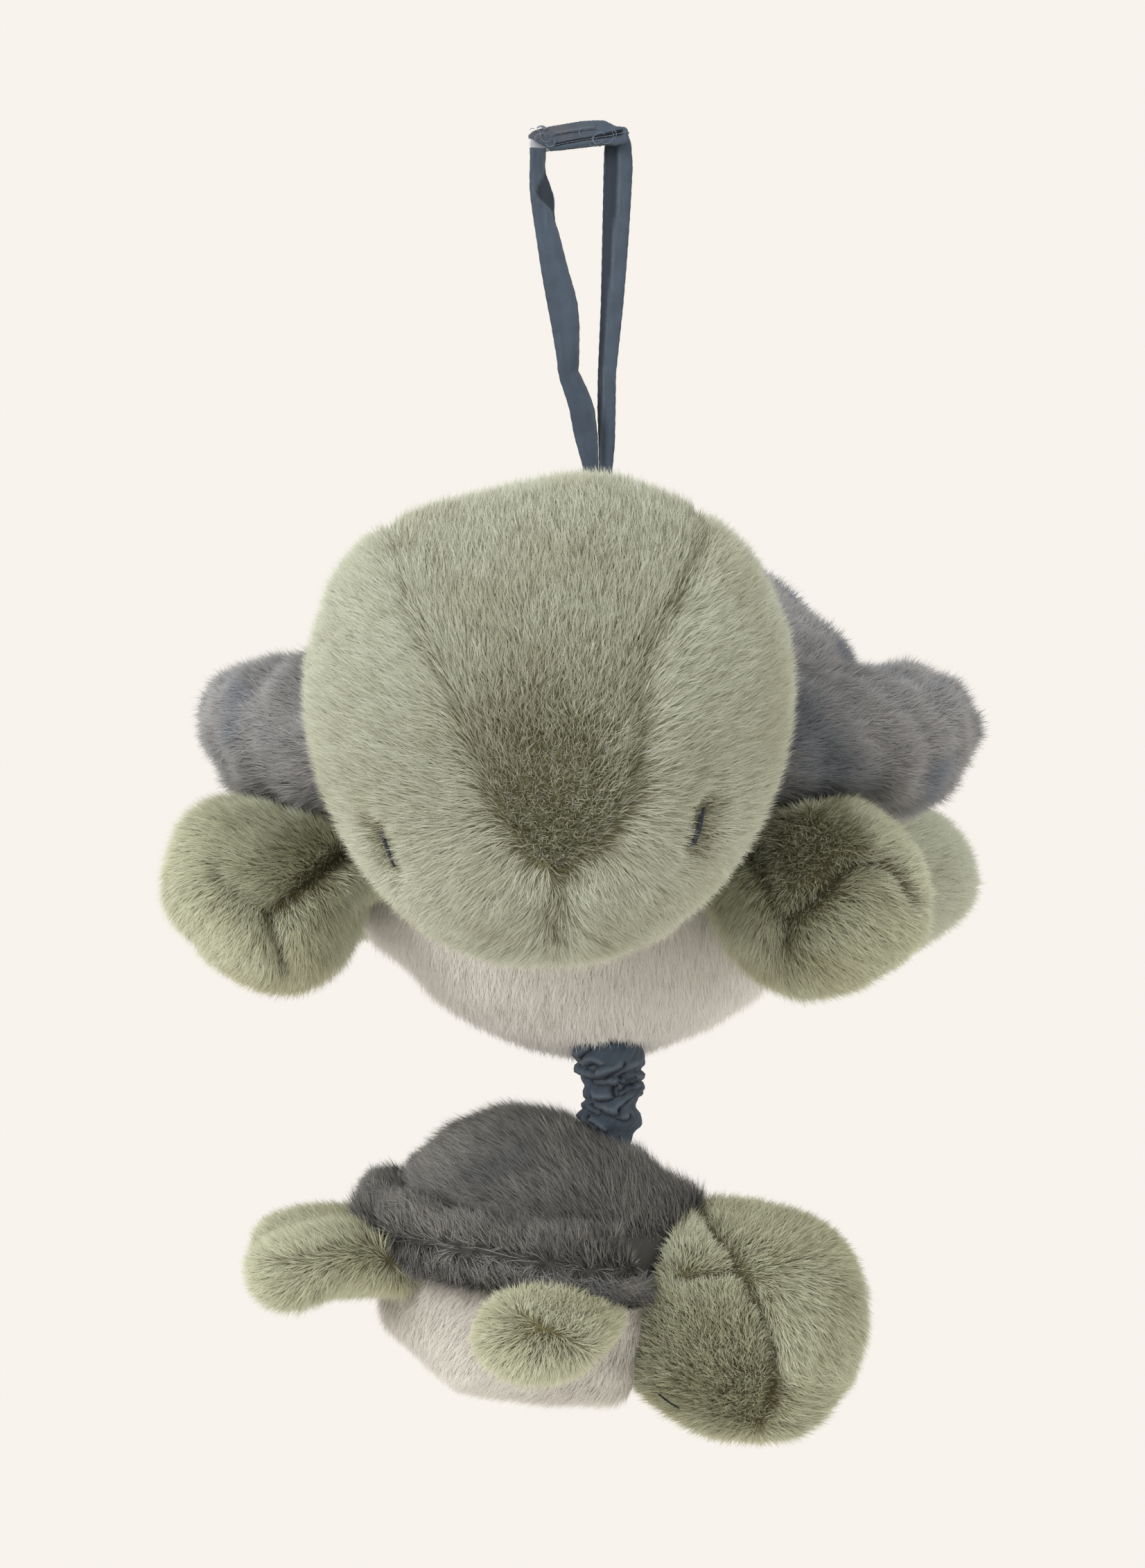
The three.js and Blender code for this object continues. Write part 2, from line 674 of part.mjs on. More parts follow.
// A spur gear's outline. first is the angle of the middle of its first tooth.
function gearOutline(teeth, size, first) {
  const pitchRadius = (size * teeth) / 2;
  const tip = pitchRadius + size * toothTopShare;
  const root = pitchRadius - size * toothRootShare;
  const outline = new THREE.Shape();
  const corners = [[root, -toothFootShare], [tip, -toothTipShare], [tip, toothTipShare], [root, toothFootShare]];
  for (let i = 0; i < teeth; i += 1) {
    for (const [radius, shift] of corners) {
      const angle = first + ((i + shift) / teeth) * turn;
      const x = radius * Math.cos(angle);
      const y = radius * Math.sin(angle);
      if (i === 0 && shift === -toothFootShare) {
        outline.moveTo(x, y);
      } else {
        outline.lineTo(x, y);
      }
    }
  }
  outline.closePath();
  return outline;
}

// Stands an outline drawn in x and z on the plane y = back, with its depth towards -Y.
function standing(outline, depth, back, x, z) {
  const geometry = new THREE.ExtrudeGeometry(outline, { depth, bevelEnabled: false });
  return geometry.rotateX(Math.PI / 2).translate(x, back, z);
}

function gear(teeth, size, first, back, depth, x, z) {
  return standing(gearOutline(teeth, size, first), depth, back, x, z);
}

function spiralSpring() {
  const inner = shaftRadius + runGap + springThick;
  const outer = cordCore - drumWall - runGap - springThick;
  const steps = Math.round(springTurns * springSteps);
  const near = [];
  const far = [];
  for (let i = 0; i <= steps; i += 1) {
    const share = i / steps;
    const angle = share * springTurns * turn;
    const radius = inner + (outer - inner) * share;
    near.push(new THREE.Vector2(Math.cos(angle), Math.sin(angle)).multiplyScalar(radius - springThick / 2));
    far.push(new THREE.Vector2(Math.cos(angle), Math.sin(angle)).multiplyScalar(radius + springThick / 2));
  }
  const outline = new THREE.Shape([...near, ...far.reverse()]);
  return standing(outline, springHeight, drumBack - seamGap, drumX, drumZ);
}

function cordWinding() {
  const steps = windTurns * windSteps;
  const rings = [];
  for (let i = 0; i <= steps; i += 1) {
    const angle = (i / windSteps) * turn;
    const y = windStart - (i / windSteps) * windPitch;
    const out = new THREE.Vector3(Math.cos(angle), 0, Math.sin(angle));
    const ring = [];
    for (let j = 0; j < windSides; j += 1) {
      const lean = (j / windSides) * turn;
      const reach = drumRadius + windGap + (cordDiameter / 2) * Math.cos(lean);
      const p = out.clone().multiplyScalar(reach);
      ring.push(p.add(new THREE.Vector3(drumX, y + (cordDiameter / 2) * Math.sin(lean), drumZ)));
    }
    rings.push(ring);
  }
  return cappedLoft(rings);
}

function comb() {
  const tip = toneX - toneRadius - tonePinRise - seamGap;
  const plate = block(
    new THREE.Vector3(tip - combLength, drumFront + seamGap, toneZ),
    new THREE.Vector3(tip, drumBack, toneZ + combThick));
  const pitch = (drumBack - drumFront - seamGap) / combTeeth;
  const slots = [];
  for (let i = 1; i < combTeeth; i += 1) {
    const y = drumFront + seamGap + i * pitch;
    slots.push(block(
      new THREE.Vector3(tip - combLength * combSlotShare, y - combSlot / 2, toneZ - cutOver),
      new THREE.Vector3(tip + cutOver, y + combSlot / 2, toneZ + combThick + cutOver)));
  }
  return cut(plate, ...slots);
}

function toneCylinder() {
  const barrel = barAlongY(toneRadius, drumFront, drumLength, toneX, toneZ, 2 * smallSegments);
  const shaft = barAlongY(toneShaftRadius, insideFront + seamGap, plateBack - insideFront - seamGap,
    toneX, toneZ, smallSegments);
  const towardsDrum = radians(trainAngle) + Math.PI;
  const pinion = gear(pinionTeeth, wheelModule, towardsDrum + turn / pinionTeeth / 2,
    wheelBack, wheelBack - drumBack, toneX, toneZ);
  const wheel = gear(trainTeeth, trainModule, radians(fanAngle), trainBack, trainBack - trainFront,
    toneX, toneZ);
  const hub = barAlongY(toneRadius - wheelModule, drumBack - seamGap, wheelFront - drumBack + 2 * seamGap,
    toneX, toneZ, smallSegments);
  const pins = [];
  for (let i = 0; i < tonePinRings; i += 1) {
    for (let j = 0; j < tonePinsRound; j += 1) {
      const y = drumFront + drumLength * (i + 1) / (tonePinRings + 1);
      const pin = new THREE.BoxGeometry(2 * tonePinRise, tonePinWidth, tonePinWidth);
      pin.translate(toneRadius, 0, 0);
      pin.rotateY(((j + i / tonePinRings) / tonePinsRound) * turn);
      pins.push(pin.translate(toneX, y, toneZ));
    }
  }
  return joined(barrel, shaft, hub, pinion, wheel, ...pins);
}

function governor() {
  const shaft = barAlongY(fanShaftRadius, insideFront + seamGap, plateBack - insideFront - seamGap,
    fanX, fanZ, smallSegments);
  const pinion = gear(fanTeeth, trainModule, radians(fanAngle) + Math.PI + turn / fanTeeth / 2,
    trainBack, trainBack - trainFront, fanX, fanZ);
  const blade = new THREE.BoxGeometry(2 * fanReach, fanLength, fanThick);
  blade.translate(fanX, drumFront + drumLength / 2, fanZ);
  return joined(shaft, pinion, blade);
}

function springDrum() {
  const core = barAlongY(cordCore, drumFront, drumLength, drumX, drumZ, 2 * smallSegments);
  const front = barAlongY(drumFlange, drumFront, flangeThick, drumX, drumZ, 2 * smallSegments);
  const back = barAlongY(drumFlange, drumBack - flangeThick, flangeThick, drumX, drumZ, 2 * smallSegments);
  const springRoom = barAlongY(cordCore - drumWall, drumBack - springHeight - 2 * seamGap,
    springHeight + 2 * seamGap + cutOver, drumX, drumZ, 2 * smallSegments);
  const bore = barAlongY(shaftRadius + runGap, drumFront - cutOver, drumLength + 2 * cutOver,
    drumX, drumZ, smallSegments);
  return cut(joined(core, front, back), springRoom, bore);
}

function bedplate() {
  const plate = barAlongY(caseRadius - caseWall - seamGap, plateFront, plateThick, caseX, caseZ, caseSegments);
  const combTip = toneX - toneRadius - tonePinRise - seamGap;
  const post = block(
    new THREE.Vector3(combTip - combLength, drumFront + seamGap, toneZ - combPostHeight),
    new THREE.Vector3(combTip - combLength * combSlotShare - seamGap, plateFront + plateThick / 2,
      toneZ - seamGap));
  const holes = [
    [toneShaftRadius, toneX, toneZ],
    [fanShaftRadius, fanX, fanZ],
    [shaftRadius - runGap + seamGap, drumX, drumZ],
  ].map(([radius, x, z]) => barAlongY(radius + runGap, plateFront - cutOver, plateThick + 2 * cutOver,
    x, z, smallSegments));
  return cut(joined(plate, post), ...holes);
}

function driveWheel() {
  const wheel = gear(wheelTeeth, wheelModule, radians(trainAngle), wheelBack, gearThick, drumX, drumZ);
  const bore = barAlongY(shaftRadius + runGap, wheelFront - cutOver, gearThick + 2 * cutOver,
    drumX, drumZ, smallSegments);
  return cut(wheel, bore);
}

// One half of the round case, a cup whose mouth is at the joint plane.
function caseHalf(closed, open, holes) {
  const low = Math.min(closed, open);
  const shell = barAlongY(caseRadius, low, Math.abs(closed - open), caseX, caseZ, caseSegments);
  const roomLow = closed < open ? closed + caseWall : open - cutOver;
  const roomHigh = closed < open ? open + cutOver : closed - caseWall;
  const room = barAlongY(caseRadius - caseWall, roomLow, roomHigh - roomLow, caseX, caseZ, caseSegments);
  return cut(shell, room, ...holes);
}

const nozzleTop = caseZ - Math.sqrt(caseRadius ** 2 - (cordAcross - caseX) ** 2);
const bellyAtCord = -mother.bellyDepth
  * Math.sqrt(1 - (Math.hypot(cordAcross, cordForward) / mother.halfWidth) ** bellyFullShare);
const insideBelly = bellyAtCord + mother.wall;

// The spout under the case that the cord runs through, seated on the belly's backing.
function cordSpout() {
  const top = nozzleTop + caseWall;
  const bar = barAlongZ(nozzleRadius, top, top - insideBelly - grommetLift - grommetThick - seamGap,
    cordAcross, -cordForward, smallSegments);
  const bore = barAlongZ(nozzleBore, top + cutOver, top - insideBelly + 2 * cutOver,
    cordAcross, -cordForward, smallSegments);
  const around = barAlongY(caseRadius + seamGap, caseFront - cutOver, caseDepth + 2 * cutOver,
    caseX, caseZ, 2 * caseSegments);
  return cut(bar, bore, around);
}

function cordTube(top, bottom) {
  return barAlongZ(cordDiameter / 2, top, top - bottom, 0, 0, cordSides);
}

function caseScrew(x, z) {
  const head = barAlongY(screwHead, caseFront - seamGap - screwHeadHeight, screwHeadHeight, x, z, screwFacets);
  const shank = barAlongY(screwRadius, caseFront - seamGap - screwHeadHeight / 2,
    screwHeadHeight / 2 + seamGap + screwReach, x, z, screwFacets);
  return joined(head, shank);
}

function musicMovement() {
  const group = new THREE.Group();
  const exit = barAlongZ(nozzleBore, caseZ, caseRadius + cutOver, cordAcross, -cordForward, smallSegments);
  const screwPlaces = screwAngles.map((angle) => [
    caseX + screwRing * Math.cos(radians(angle)), caseZ + screwRing * Math.sin(radians(angle))]);
  const screwHoles = screwPlaces.map(([x, z]) => barAlongY(screwRadius + runGap, caseFront - cutOver,
    caseWall + 2 * cutOver, x, z, screwFacets));
  const shaftSeat = barAlongY(shaftRadius + seamGap, insideFront - caseWall / 2, caseWall, drumX, drumZ,
    smallSegments);
  group.add(piece('case_front',
    caseHalf(caseFront, jointPlane - seamGap / 2, [exit, shaftSeat, ...screwHoles]), plastic));
  group.add(piece('case_back', caseHalf(caseBack, jointPlane + seamGap / 2, [exit]), plastic));
  screwPlaces.forEach(([x, z], i) => {
    group.add(piece(`case_screw_${i + 1}`, caseScrew(x, z), steel));
  });
  group.add(piece('bedplate', bedplate(), steel));
  group.add(piece('drum_shaft', barAlongY(shaftRadius, insideFront - caseWall / 2 + seamGap,
    plateBack - insideFront + caseWall / 2 - seamGap, drumX, drumZ, smallSegments), steel));
  group.add(piece('mainspring', spiralSpring(), steel));
  group.add(piece('spring_drum', springDrum(), plastic));
  group.add(piece('cord_winding', cordWinding(), cordCloth));
  group.add(piece('drive_wheel', driveWheel(), brass));
  group.add(piece('tone_cylinder', toneCylinder(), brass));
  group.add(piece('tone_comb', comb(), steel));
  const combTip = toneX - toneRadius - tonePinRise - seamGap;
  const combScrewX = combTip - combLength * (1 + combSlotShare) / 2;
  [drumFront + drumLength / 4, drumFront + drumLength * 3 / 4].forEach((y, i) => {
    const head = barAlongZ(screwRadius, toneZ + combThick + seamGap + screwHeadHeight, screwHeadHeight,
      combScrewX, y, screwFacets);
    group.add(piece(`comb_screw_${i + 1}`, head, steel));
  });
  group.add(piece('governor_fan', governor(), brass));
  group.add(piece('cord_spout', cordSpout(), plastic));
  const runTop = drumZ - Math.sqrt((drumRadius + windGap + cordDiameter / 2) ** 2
    - (drumRadius - cordDiameter / 2) ** 2) - seamGap;
  const run = cordTube(runTop, bellyAtCord + pivotRise + seamGap / 2);
  group.add(piece('cord_inner_run', run.translate(cordAcross, -cordForward, 0), cordCloth));
  return group;
}

// What hangs under the belly, in a frame with its origin on the cord's axis at the rim's level

// The gathered sleeve: a tube of cloth scrunched into folds round the cord. Its two ends are drawn in.
function gatheredSleeve() {
  const top = bellyAtCord - seamGap;
  const fullTop = top - neckTop;
  const fullLength = sleeveLength - neckTop - neckFoot;
  const rows = sleeveFolds * foldRows;
  const rings = [];
  for (let j = 0; j < sleeveAround; j += 1) {
    const angle = (j / sleeveAround) * turn;
    const at = (radius, z) => new THREE.Vector3(radius * Math.cos(angle), radius * Math.sin(angle), z);
    const ring = [at(sleeveNeck, top)];
    for (let i = 0; i <= rows; i += 1) {
      const share = i / rows;
      const phase = share * sleeveFolds * turn + foldTwistShare * Math.sin(2 * angle + share * turn);
      const fold = 1 - foldDepthShare * (1 + Math.cos(phase)) / 2;
      const stray = 1 + foldStrayShare * Math.sin(3 * angle + share * sleeveFolds * 2);
      ring.push(at(sleeveRadius * fold * stray, fullTop - share * fullLength));
    }
    const footTop = top - sleeveLength + neckFoot * footShare;
    ring.push(at(sleeveNeck, footTop), at(sleeveNeck, top - sleeveLength - sleeveSunk));
    ring.push(at(sleeveBore, top - sleeveLength - sleeveSunk), at(sleeveBore, top));
    rings.push(ring);
  }
  return loopLoft(rings);
}

function babyPlace() {
  const pitch = radians(babyPitch);
  const rise = baby.domeHeight * domeRise(baby, attachForward / baby.halfLength);
  const ahead = attachForward * Math.cos(pitch) + rise * Math.sin(pitch);
  const up = -attachForward * Math.sin(pitch) + rise * Math.cos(pitch);
  const sleeveFoot = bellyAtCord - seamGap - sleeveLength;
  return new THREE.Vector3(-ahead, 0, sleeveFoot - up);
}

function hangingBaby() {
  const group = new THREE.Group();
  const frame = new THREE.Group();
  frame.position.copy(babyPlace());
  frame.rotation.set(radians(babyPitch), 0, radians(babyYaw), 'ZXY');
  frame.updateMatrix();
  const intoBaby = frame.matrix.clone().invert();
  const skinAt = bellyAtCord - seamGap - sleeveLength;
  const washerTop = skinAt - washerDepth;
  const bore = barAlongZ(sleeveNeck + seamGap, skinAt + pocketDepth, 2 * pocketDepth, 0, 0, smallSegments);
  const pocket = barAlongZ(washerRadius + seamGap, skinAt, pocketDepth, 0, 0, smallSegments);
  const body = turtle(baby, {
    shell: [bore.applyMatrix4(intoBaby)],
    belly: [],
    filling: [bore, pocket.applyMatrix4(intoBaby)],
  });
  frame.add(...body.children);
  group.add(frame);
  const washerHole = barAlongZ(cordDiameter / 2 + seamGap, washerTop + cutOver, washerThick + 2 * cutOver,
    0, 0, smallSegments);
  const washer = cut(barAlongZ(washerRadius, washerTop, washerThick, 0, 0, 2 * smallSegments), washerHole);
  group.add(piece('anchor_washer', washer, plastic));
  const cordTop = bellyAtCord + pivotRise - seamGap / 2;
  const knotTop = washerTop - washerThick - seamGap;
  const knot = barAlongZ(knotRadius, knotTop, knotLength, 0, 0, cordSides);
  group.add(piece('cord_hanging_run', joined(cordTube(cordTop, knotTop - knotLength / 2), knot), cordCloth));
  group.add(piece('gathered_sleeve', gatheredSleeve(), slate));
  return group;
}

// The mother, with the movement in her filling

function motherTurtle() {
  const cordHole = barAlongZ(sleeveNeck + holeRoom, insideBelly + cutOver, mother.wall + 3 * cutOver,
    cordAcross, -cordForward, 2 * smallSegments);
  const caseRoom = barAlongY(caseRadius + seamGap, caseFront - screwHeadHeight - 2 * seamGap,
    caseDepth + screwHeadHeight + 3 * seamGap, caseX, caseZ, caseSegments);
  const spoutRoom = barAlongZ(grommetRadius + seamGap, caseZ, caseZ - insideBelly + cutOver,
    cordAcross, -cordForward, smallSegments);
  const group = turtle(mother, { shell: [], belly: [cordHole], filling: [caseRoom, spoutRoom] });
  const grommet = cut(
    barAlongZ(grommetRadius, insideBelly + grommetLift + grommetThick, grommetThick, cordAcross, -cordForward,
      2 * smallSegments),
    barAlongZ(nozzleBore, insideBelly + grommetLift + 2 * grommetThick, mother.wall, cordAcross, -cordForward,
      smallSegments));
  group.add(piece('belly_grommet', grommet, plastic));
  return group;
}

// The sleeve's hem in the belly's hole. It tilts fore and aft on the hole's edge with the sleeve.
function sleeveHem() {
  const foot = bellyAtCord;
  return cut(
    barAlongZ(sleeveNeck, foot + collarHeight, collarHeight, 0, 0, 2 * smallSegments),
    barAlongZ(sleeveBore, foot + collarHeight + cutOver, collarHeight + 2 * cutOver, 0, 0, smallSegments));
}

const motherFrame = motherTurtle();
motherFrame.add(...musicMovement().children);
motherFrame.position.set(motherAcross, motherBack, -motherDrop);
motherFrame.rotation.z = radians(motherYaw);
motherFrame.updateMatrix();

const hanging = hangingBaby();
hanging.add(piece('sleeve_hem', sleeveHem(), slate));
hanging.position.set(cordAcross, -cordForward, 0);
hanging.rotation.z = radians(-motherYaw);
motherFrame.add(hanging);

const shellCutter = bodySkin(mother, -seamGap).applyMatrix4(motherFrame.matrix);
const toy = strapLoop(shellCutter);
toy.add(motherFrame);

export default toy;
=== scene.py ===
import math

import bmesh
import bpy
import numpy as np
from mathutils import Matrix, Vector
from mathutils.bvhtree import BVHTree


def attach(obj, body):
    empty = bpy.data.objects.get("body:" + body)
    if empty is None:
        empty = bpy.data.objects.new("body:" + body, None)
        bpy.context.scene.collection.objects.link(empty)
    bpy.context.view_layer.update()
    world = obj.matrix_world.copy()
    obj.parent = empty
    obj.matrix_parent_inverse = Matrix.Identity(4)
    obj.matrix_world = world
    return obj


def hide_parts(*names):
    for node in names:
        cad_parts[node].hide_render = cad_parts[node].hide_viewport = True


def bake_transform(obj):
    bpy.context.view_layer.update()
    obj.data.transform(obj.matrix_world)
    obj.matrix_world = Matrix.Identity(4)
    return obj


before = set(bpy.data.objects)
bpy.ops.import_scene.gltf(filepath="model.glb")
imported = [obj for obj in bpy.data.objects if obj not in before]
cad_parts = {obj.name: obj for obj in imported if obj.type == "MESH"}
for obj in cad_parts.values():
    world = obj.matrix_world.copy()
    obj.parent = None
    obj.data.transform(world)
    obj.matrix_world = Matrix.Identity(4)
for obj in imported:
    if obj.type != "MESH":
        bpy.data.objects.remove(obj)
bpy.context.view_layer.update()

# Studio. The toy hangs level in front of the camera. The photograph's frame is 430 mm high at the strap.
# A pale floor lies well below, a large soft lamp stands high on the left, and weaker ones right and behind.

CAMERA_ACROSS, CAMERA_HIGH, CAMERA_BACK = -0.0023, -0.1742, 1.6
FRAME_HIGH = 0.4298
SENSOR = 24.0


def new_object(name, data, *materials):
    """Links a mesh, curve, lamp or camera into the scene as an object of that name."""
    made = bpy.data.objects.new(name, data)
    for material in materials:
        data.materials.append(material)
    bpy.context.scene.collection.objects.link(made)
    return made


camera_data = bpy.data.cameras.new("studio_camera")
camera_data.sensor_fit = "VERTICAL"
camera_data.sensor_height = SENSOR
camera_data.lens = SENSOR * CAMERA_BACK / FRAME_HIGH
camera = new_object("studio_camera", camera_data)
camera.location = (CAMERA_ACROSS, -CAMERA_BACK, CAMERA_HIGH)
camera.rotation_euler = (math.radians(90), 0, 0)
bpy.context.scene.camera = camera
bpy.context.scene.view_settings.view_transform = "Standard"


def linear(red, green, blue):
    """A colour given in the 0 to 255 steps of a screen, as a shader takes it."""
    steps = [c / 255 for c in (red, green, blue)]
    return tuple(c / 12.92 if c < 0.04045 else ((c + 0.055) / 1.055) ** 2.4 for c in steps) + (1,)


class Shade:
    """A number socket of a node tree that adds Math nodes when it is used in a sum."""

    def __init__(self, maker, socket):
        self.maker, self.socket = maker, socket

    def math(self, operation, *values):
        node = self.maker.node("ShaderNodeMath", {"operation": operation}, dict(enumerate(values)))
        return Shade(self.maker, node.outputs[0])

    def __add__(self, other):
        return self.math("ADD", self, other)

    def __sub__(self, other):
        return self.math("SUBTRACT", self, other)

    def __mul__(self, other):
        return self.math("MULTIPLY", self, other)

    def __pow__(self, other):
        return self.math("POWER", self, other)

    def __radd__(self, other):
        return self.math("ADD", other, self)

    def __rsub__(self, other):
        return self.math("SUBTRACT", other, self)

    def __rmul__(self, other):
        return self.math("MULTIPLY", other, self)

    def over(self, low, high):
        """0 below low, 1 above high, and a smooth rise between them."""
        settings = {"interpolation_type": "SMOOTHSTEP"}
        node = self.maker.node("ShaderNodeMapRange", settings, {0: self, 1: low, 2: high, 3: 0.0, 4: 1.0})
        return Shade(self.maker, node.outputs[0])


class NodeMaker:
    """Adds nodes to one node tree."""

    def __init__(self, tree):
        self.tree = tree

    def node(self, kind, settings=None, sockets=None):
        node = self.tree.nodes.new(kind)
        for name, value in (settings or {}).items():
            setattr(node, name, value)
        for name, value in (sockets or {}).items():
            if isinstance(value, Shade):
                value = value.socket
            if isinstance(value, bpy.types.NodeSocket):
                self.tree.links.new(value, node.inputs[name])
            else:
                node.inputs[name].default_value = value
        return node


class Finish(NodeMaker):
    """One material, made of nodes round a Principled shader."""

    def __init__(self, name, **constants):
        self.material = bpy.data.materials.new(name)
        self.material.use_nodes = True
        super().__init__(self.material.node_tree)
        self.tree.nodes.clear()
        self.shader = self.node("ShaderNodeBsdfPrincipled", {}, constants)
        self.node("ShaderNodeOutputMaterial", {}, {0: self.shader.outputs[0]})

    def feed(self, name, value):
        value = value.socket if isinstance(value, Shade) else value
        self.tree.links.new(value, self.shader.inputs[name])

    def place(self):
        return self.node("ShaderNodeTexCoord").outputs["Object"]

    def noise(self, scale, detail=2.0, vector=None):
        sockets = {"Vector": vector or self.place(), "Scale": scale, "Detail": detail}
        return Shade(self, self.node("ShaderNodeTexNoise", {}, sockets).outputs[0])

    def wave(self, settings, scale, distortion, detail, vector=None):
        node = self.node("ShaderNodeTexWave", settings, {
            "Vector": vector or self.place(), "Scale": scale, "Distortion": distortion, "Detail": detail})
        return Shade(self, node.outputs["Fac"])

    def attribute(self, name):
        node = self.node("ShaderNodeAttribute", {"attribute_name": name, "attribute_type": "GEOMETRY"})
        return Shade(self, node.outputs["Fac"])

    def mixed(self, share, low, high):
        """A colour share of the way from low to high."""
        settings = {"data_type": "RGBA", "clamp_factor": True}
        return self.node("ShaderNodeMix", settings, {0: share, 6: low, 7: high}).outputs[2]

    def coloured(self, share, low, high):
        """Runs the base colour from low to high as a share rises."""
        self.feed("Base Color", self.mixed(share, linear(*low), linear(*high)))

    def bumped(self, height, distance, strength=1.0):
        sockets = {"Height": height, "Distance": distance, "Strength": strength}
        self.feed("Normal", self.node("ShaderNodeBump", {}, sockets).outputs[0])


FLOOR_HIGH = -0.62
FLOOR_HALF = 1.45
floor_mesh = bpy.data.meshes.new("studio_floor")
floor_mesh.from_pydata(
    [(x * FLOOR_HALF, y * FLOOR_HALF, FLOOR_HIGH) for x, y in ((-1, -1), (1, -1), (1, 1), (-1, 1))],
    [], [(0, 1, 2, 3)])
floor_finish = Finish("studio_floor_paper", **{"Roughness": 0.9})
floor_finish.coloured(floor_finish.noise(6.0), (240, 236, 230), (246, 242, 236))
new_object("studio_floor", floor_mesh, floor_finish.material)

BACKGROUND = linear(248, 243, 236)
SKY, SKY_STRENGTH = linear(255, 253, 250), 0.62
world = bpy.data.worlds.new("studio_air")
world.use_nodes = True
bpy.context.scene.world = world
world.node_tree.nodes.clear()
air = NodeMaker(world.node_tree)
rays = air.node("ShaderNodeLightPath").outputs
seen_rays = Shade(air, rays["Is Camera Ray"])
for kind in ("Is Glossy Ray", "Is Transmission Ray"):
    seen_rays = seen_rays.math("MAXIMUM", seen_rays, rays[kind])
seen = air.node("ShaderNodeBackground", {}, {"Color": BACKGROUND, "Strength": 1.0})
light = air.node("ShaderNodeBackground", {}, {"Color": SKY, "Strength": SKY_STRENGTH})
both = air.node("ShaderNodeMixShader", {}, {0: seen_rays, 1: light.outputs[0], 2: seen.outputs[0]})
air.node("ShaderNodeOutputWorld", {}, {0: both.outputs[0]})

AIM = Vector((0, 0.02, -0.19))
# Place, size in metres and watts of each lamp.
LAMPS = {
    "lamp_left": ((-1.4, -1.6, 0.9), 1.4, 30.0),
    "lamp_right": ((1.7, -1.2, 0.2), 1.4, 7.0),
    "lamp_behind": ((0.4, 1.9, 1.1), 1.2, 10.0),
}
for name, (place, size, watts) in LAMPS.items():
    lamp_data = bpy.data.lights.new(name, "AREA")
    lamp_data.shape, lamp_data.size, lamp_data.energy = "DISK", size, watts
    lamp = new_object(name, lamp_data)
    lamp.location = place
    lamp.rotation_euler = (AIM - Vector(place)).to_track_quat("-Z", "Y").to_euler()

# Pull cord. A braided nylon cord, 1.6 mm thick. Its free run hangs inside the sleeve from the hem to a knot
# under the washer in the baby's back. The rest goes up through the spout and winds on the spring drum.

CORD_SIDES, CORD_STEPS = 10, 24
PIVOT = Vector((0.008761, 0.022042, -0.244279))
CORD_TOP, CORD_LOW = -0.24445, -0.28885
CORD_RADIUS = 0.0008
KNOT_TOP, KNOT_RADIUS = -0.2857, 0.0019


def round_points(sides):
    """Points round a circle of radius 1."""
    return [(math.cos(a), math.sin(a)) for a in (2 * math.pi * j / sides for j in range(sides))]


def tube_faces(count, sides, capped=True, first=0):
    """The faces of a tube through a count of rings of points, whose first point has the number first."""
    faces = [(i + j, i + (j + 1) % sides, i + sides + (j + 1) % sides, i + sides + j)
             for i in range(first, first + (count - 1) * sides, sides) for j in range(sides)]
    if capped:
        last = first + (count - 1) * sides
        faces += [tuple(first + j for j in reversed(range(sides))), tuple(last + j for j in range(sides))]
    return faces


def outward_mesh(name, places, faces):
    """A smooth mesh with all its faces turned outwards."""
    mesh = bpy.data.meshes.new(name)
    mesh.from_pydata(places, [], faces)
    skin = bmesh.new()
    skin.from_mesh(mesh)
    bmesh.ops.recalc_face_normals(skin, faces=skin.faces)
    skin.to_mesh(mesh)
    skin.free()
    mesh.shade_smooth()
    return mesh


def tube(name, rings, capped=True):
    """A mesh through rings of points, each ring turning the same way."""
    places = [place for ring in rings for place in ring]
    return outward_mesh(name, places, tube_faces(len(rings), len(rings[0]), capped))


def evaluated_copy(source, name):
    """A plain mesh of an object with its modifiers applied. The object itself is removed."""
    mesh = bpy.data.meshes.new_from_object(source.evaluated_get(bpy.context.evaluated_depsgraph_get()))
    mesh.name = name
    bpy.data.objects.remove(source)
    return mesh


def fitted(piece, body, slot, *nodes):
    """A piece that rides a body and stands for some nodes, which are hidden. Its slot is not used."""
    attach(piece, body)
    if nodes:
        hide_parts(*nodes)
    return piece


cord_finish = Finish("braided_cord", **{"Roughness": 0.7})
braid = cord_finish.wave({"bands_direction": "DIAGONAL"}, 520.0, 1.5, 1.0)
cord_finish.coloured(braid, (205, 200, 192), (238, 236, 230))
cord_finish.bumped(braid, 0.0003)

cord_path, cord_rings = [], []
for i in range(CORD_STEPS + 1):
    high = CORD_TOP + (CORD_LOW - CORD_TOP) * i / CORD_STEPS
    radius = CORD_RADIUS
    if high < KNOT_TOP:
        down = 0.1 + 0.9 * (KNOT_TOP - high) / (KNOT_TOP - CORD_LOW)
        radius += (KNOT_RADIUS - CORD_RADIUS) * math.sin(math.pi * min(1, down)) ** 0.5
    cord_path.append((PIVOT.x, PIVOT.y, high))
    cord_rings.append([
        (PIVOT.x + radius * x, PIVOT.y + radius * y, high) for x, y in round_points(CORD_SIDES)])
hanging_cord = new_object("hanging_cord", tube("hanging_cord", cord_rings), cord_finish.material)
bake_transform(hanging_cord)
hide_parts("cord_hanging_run")


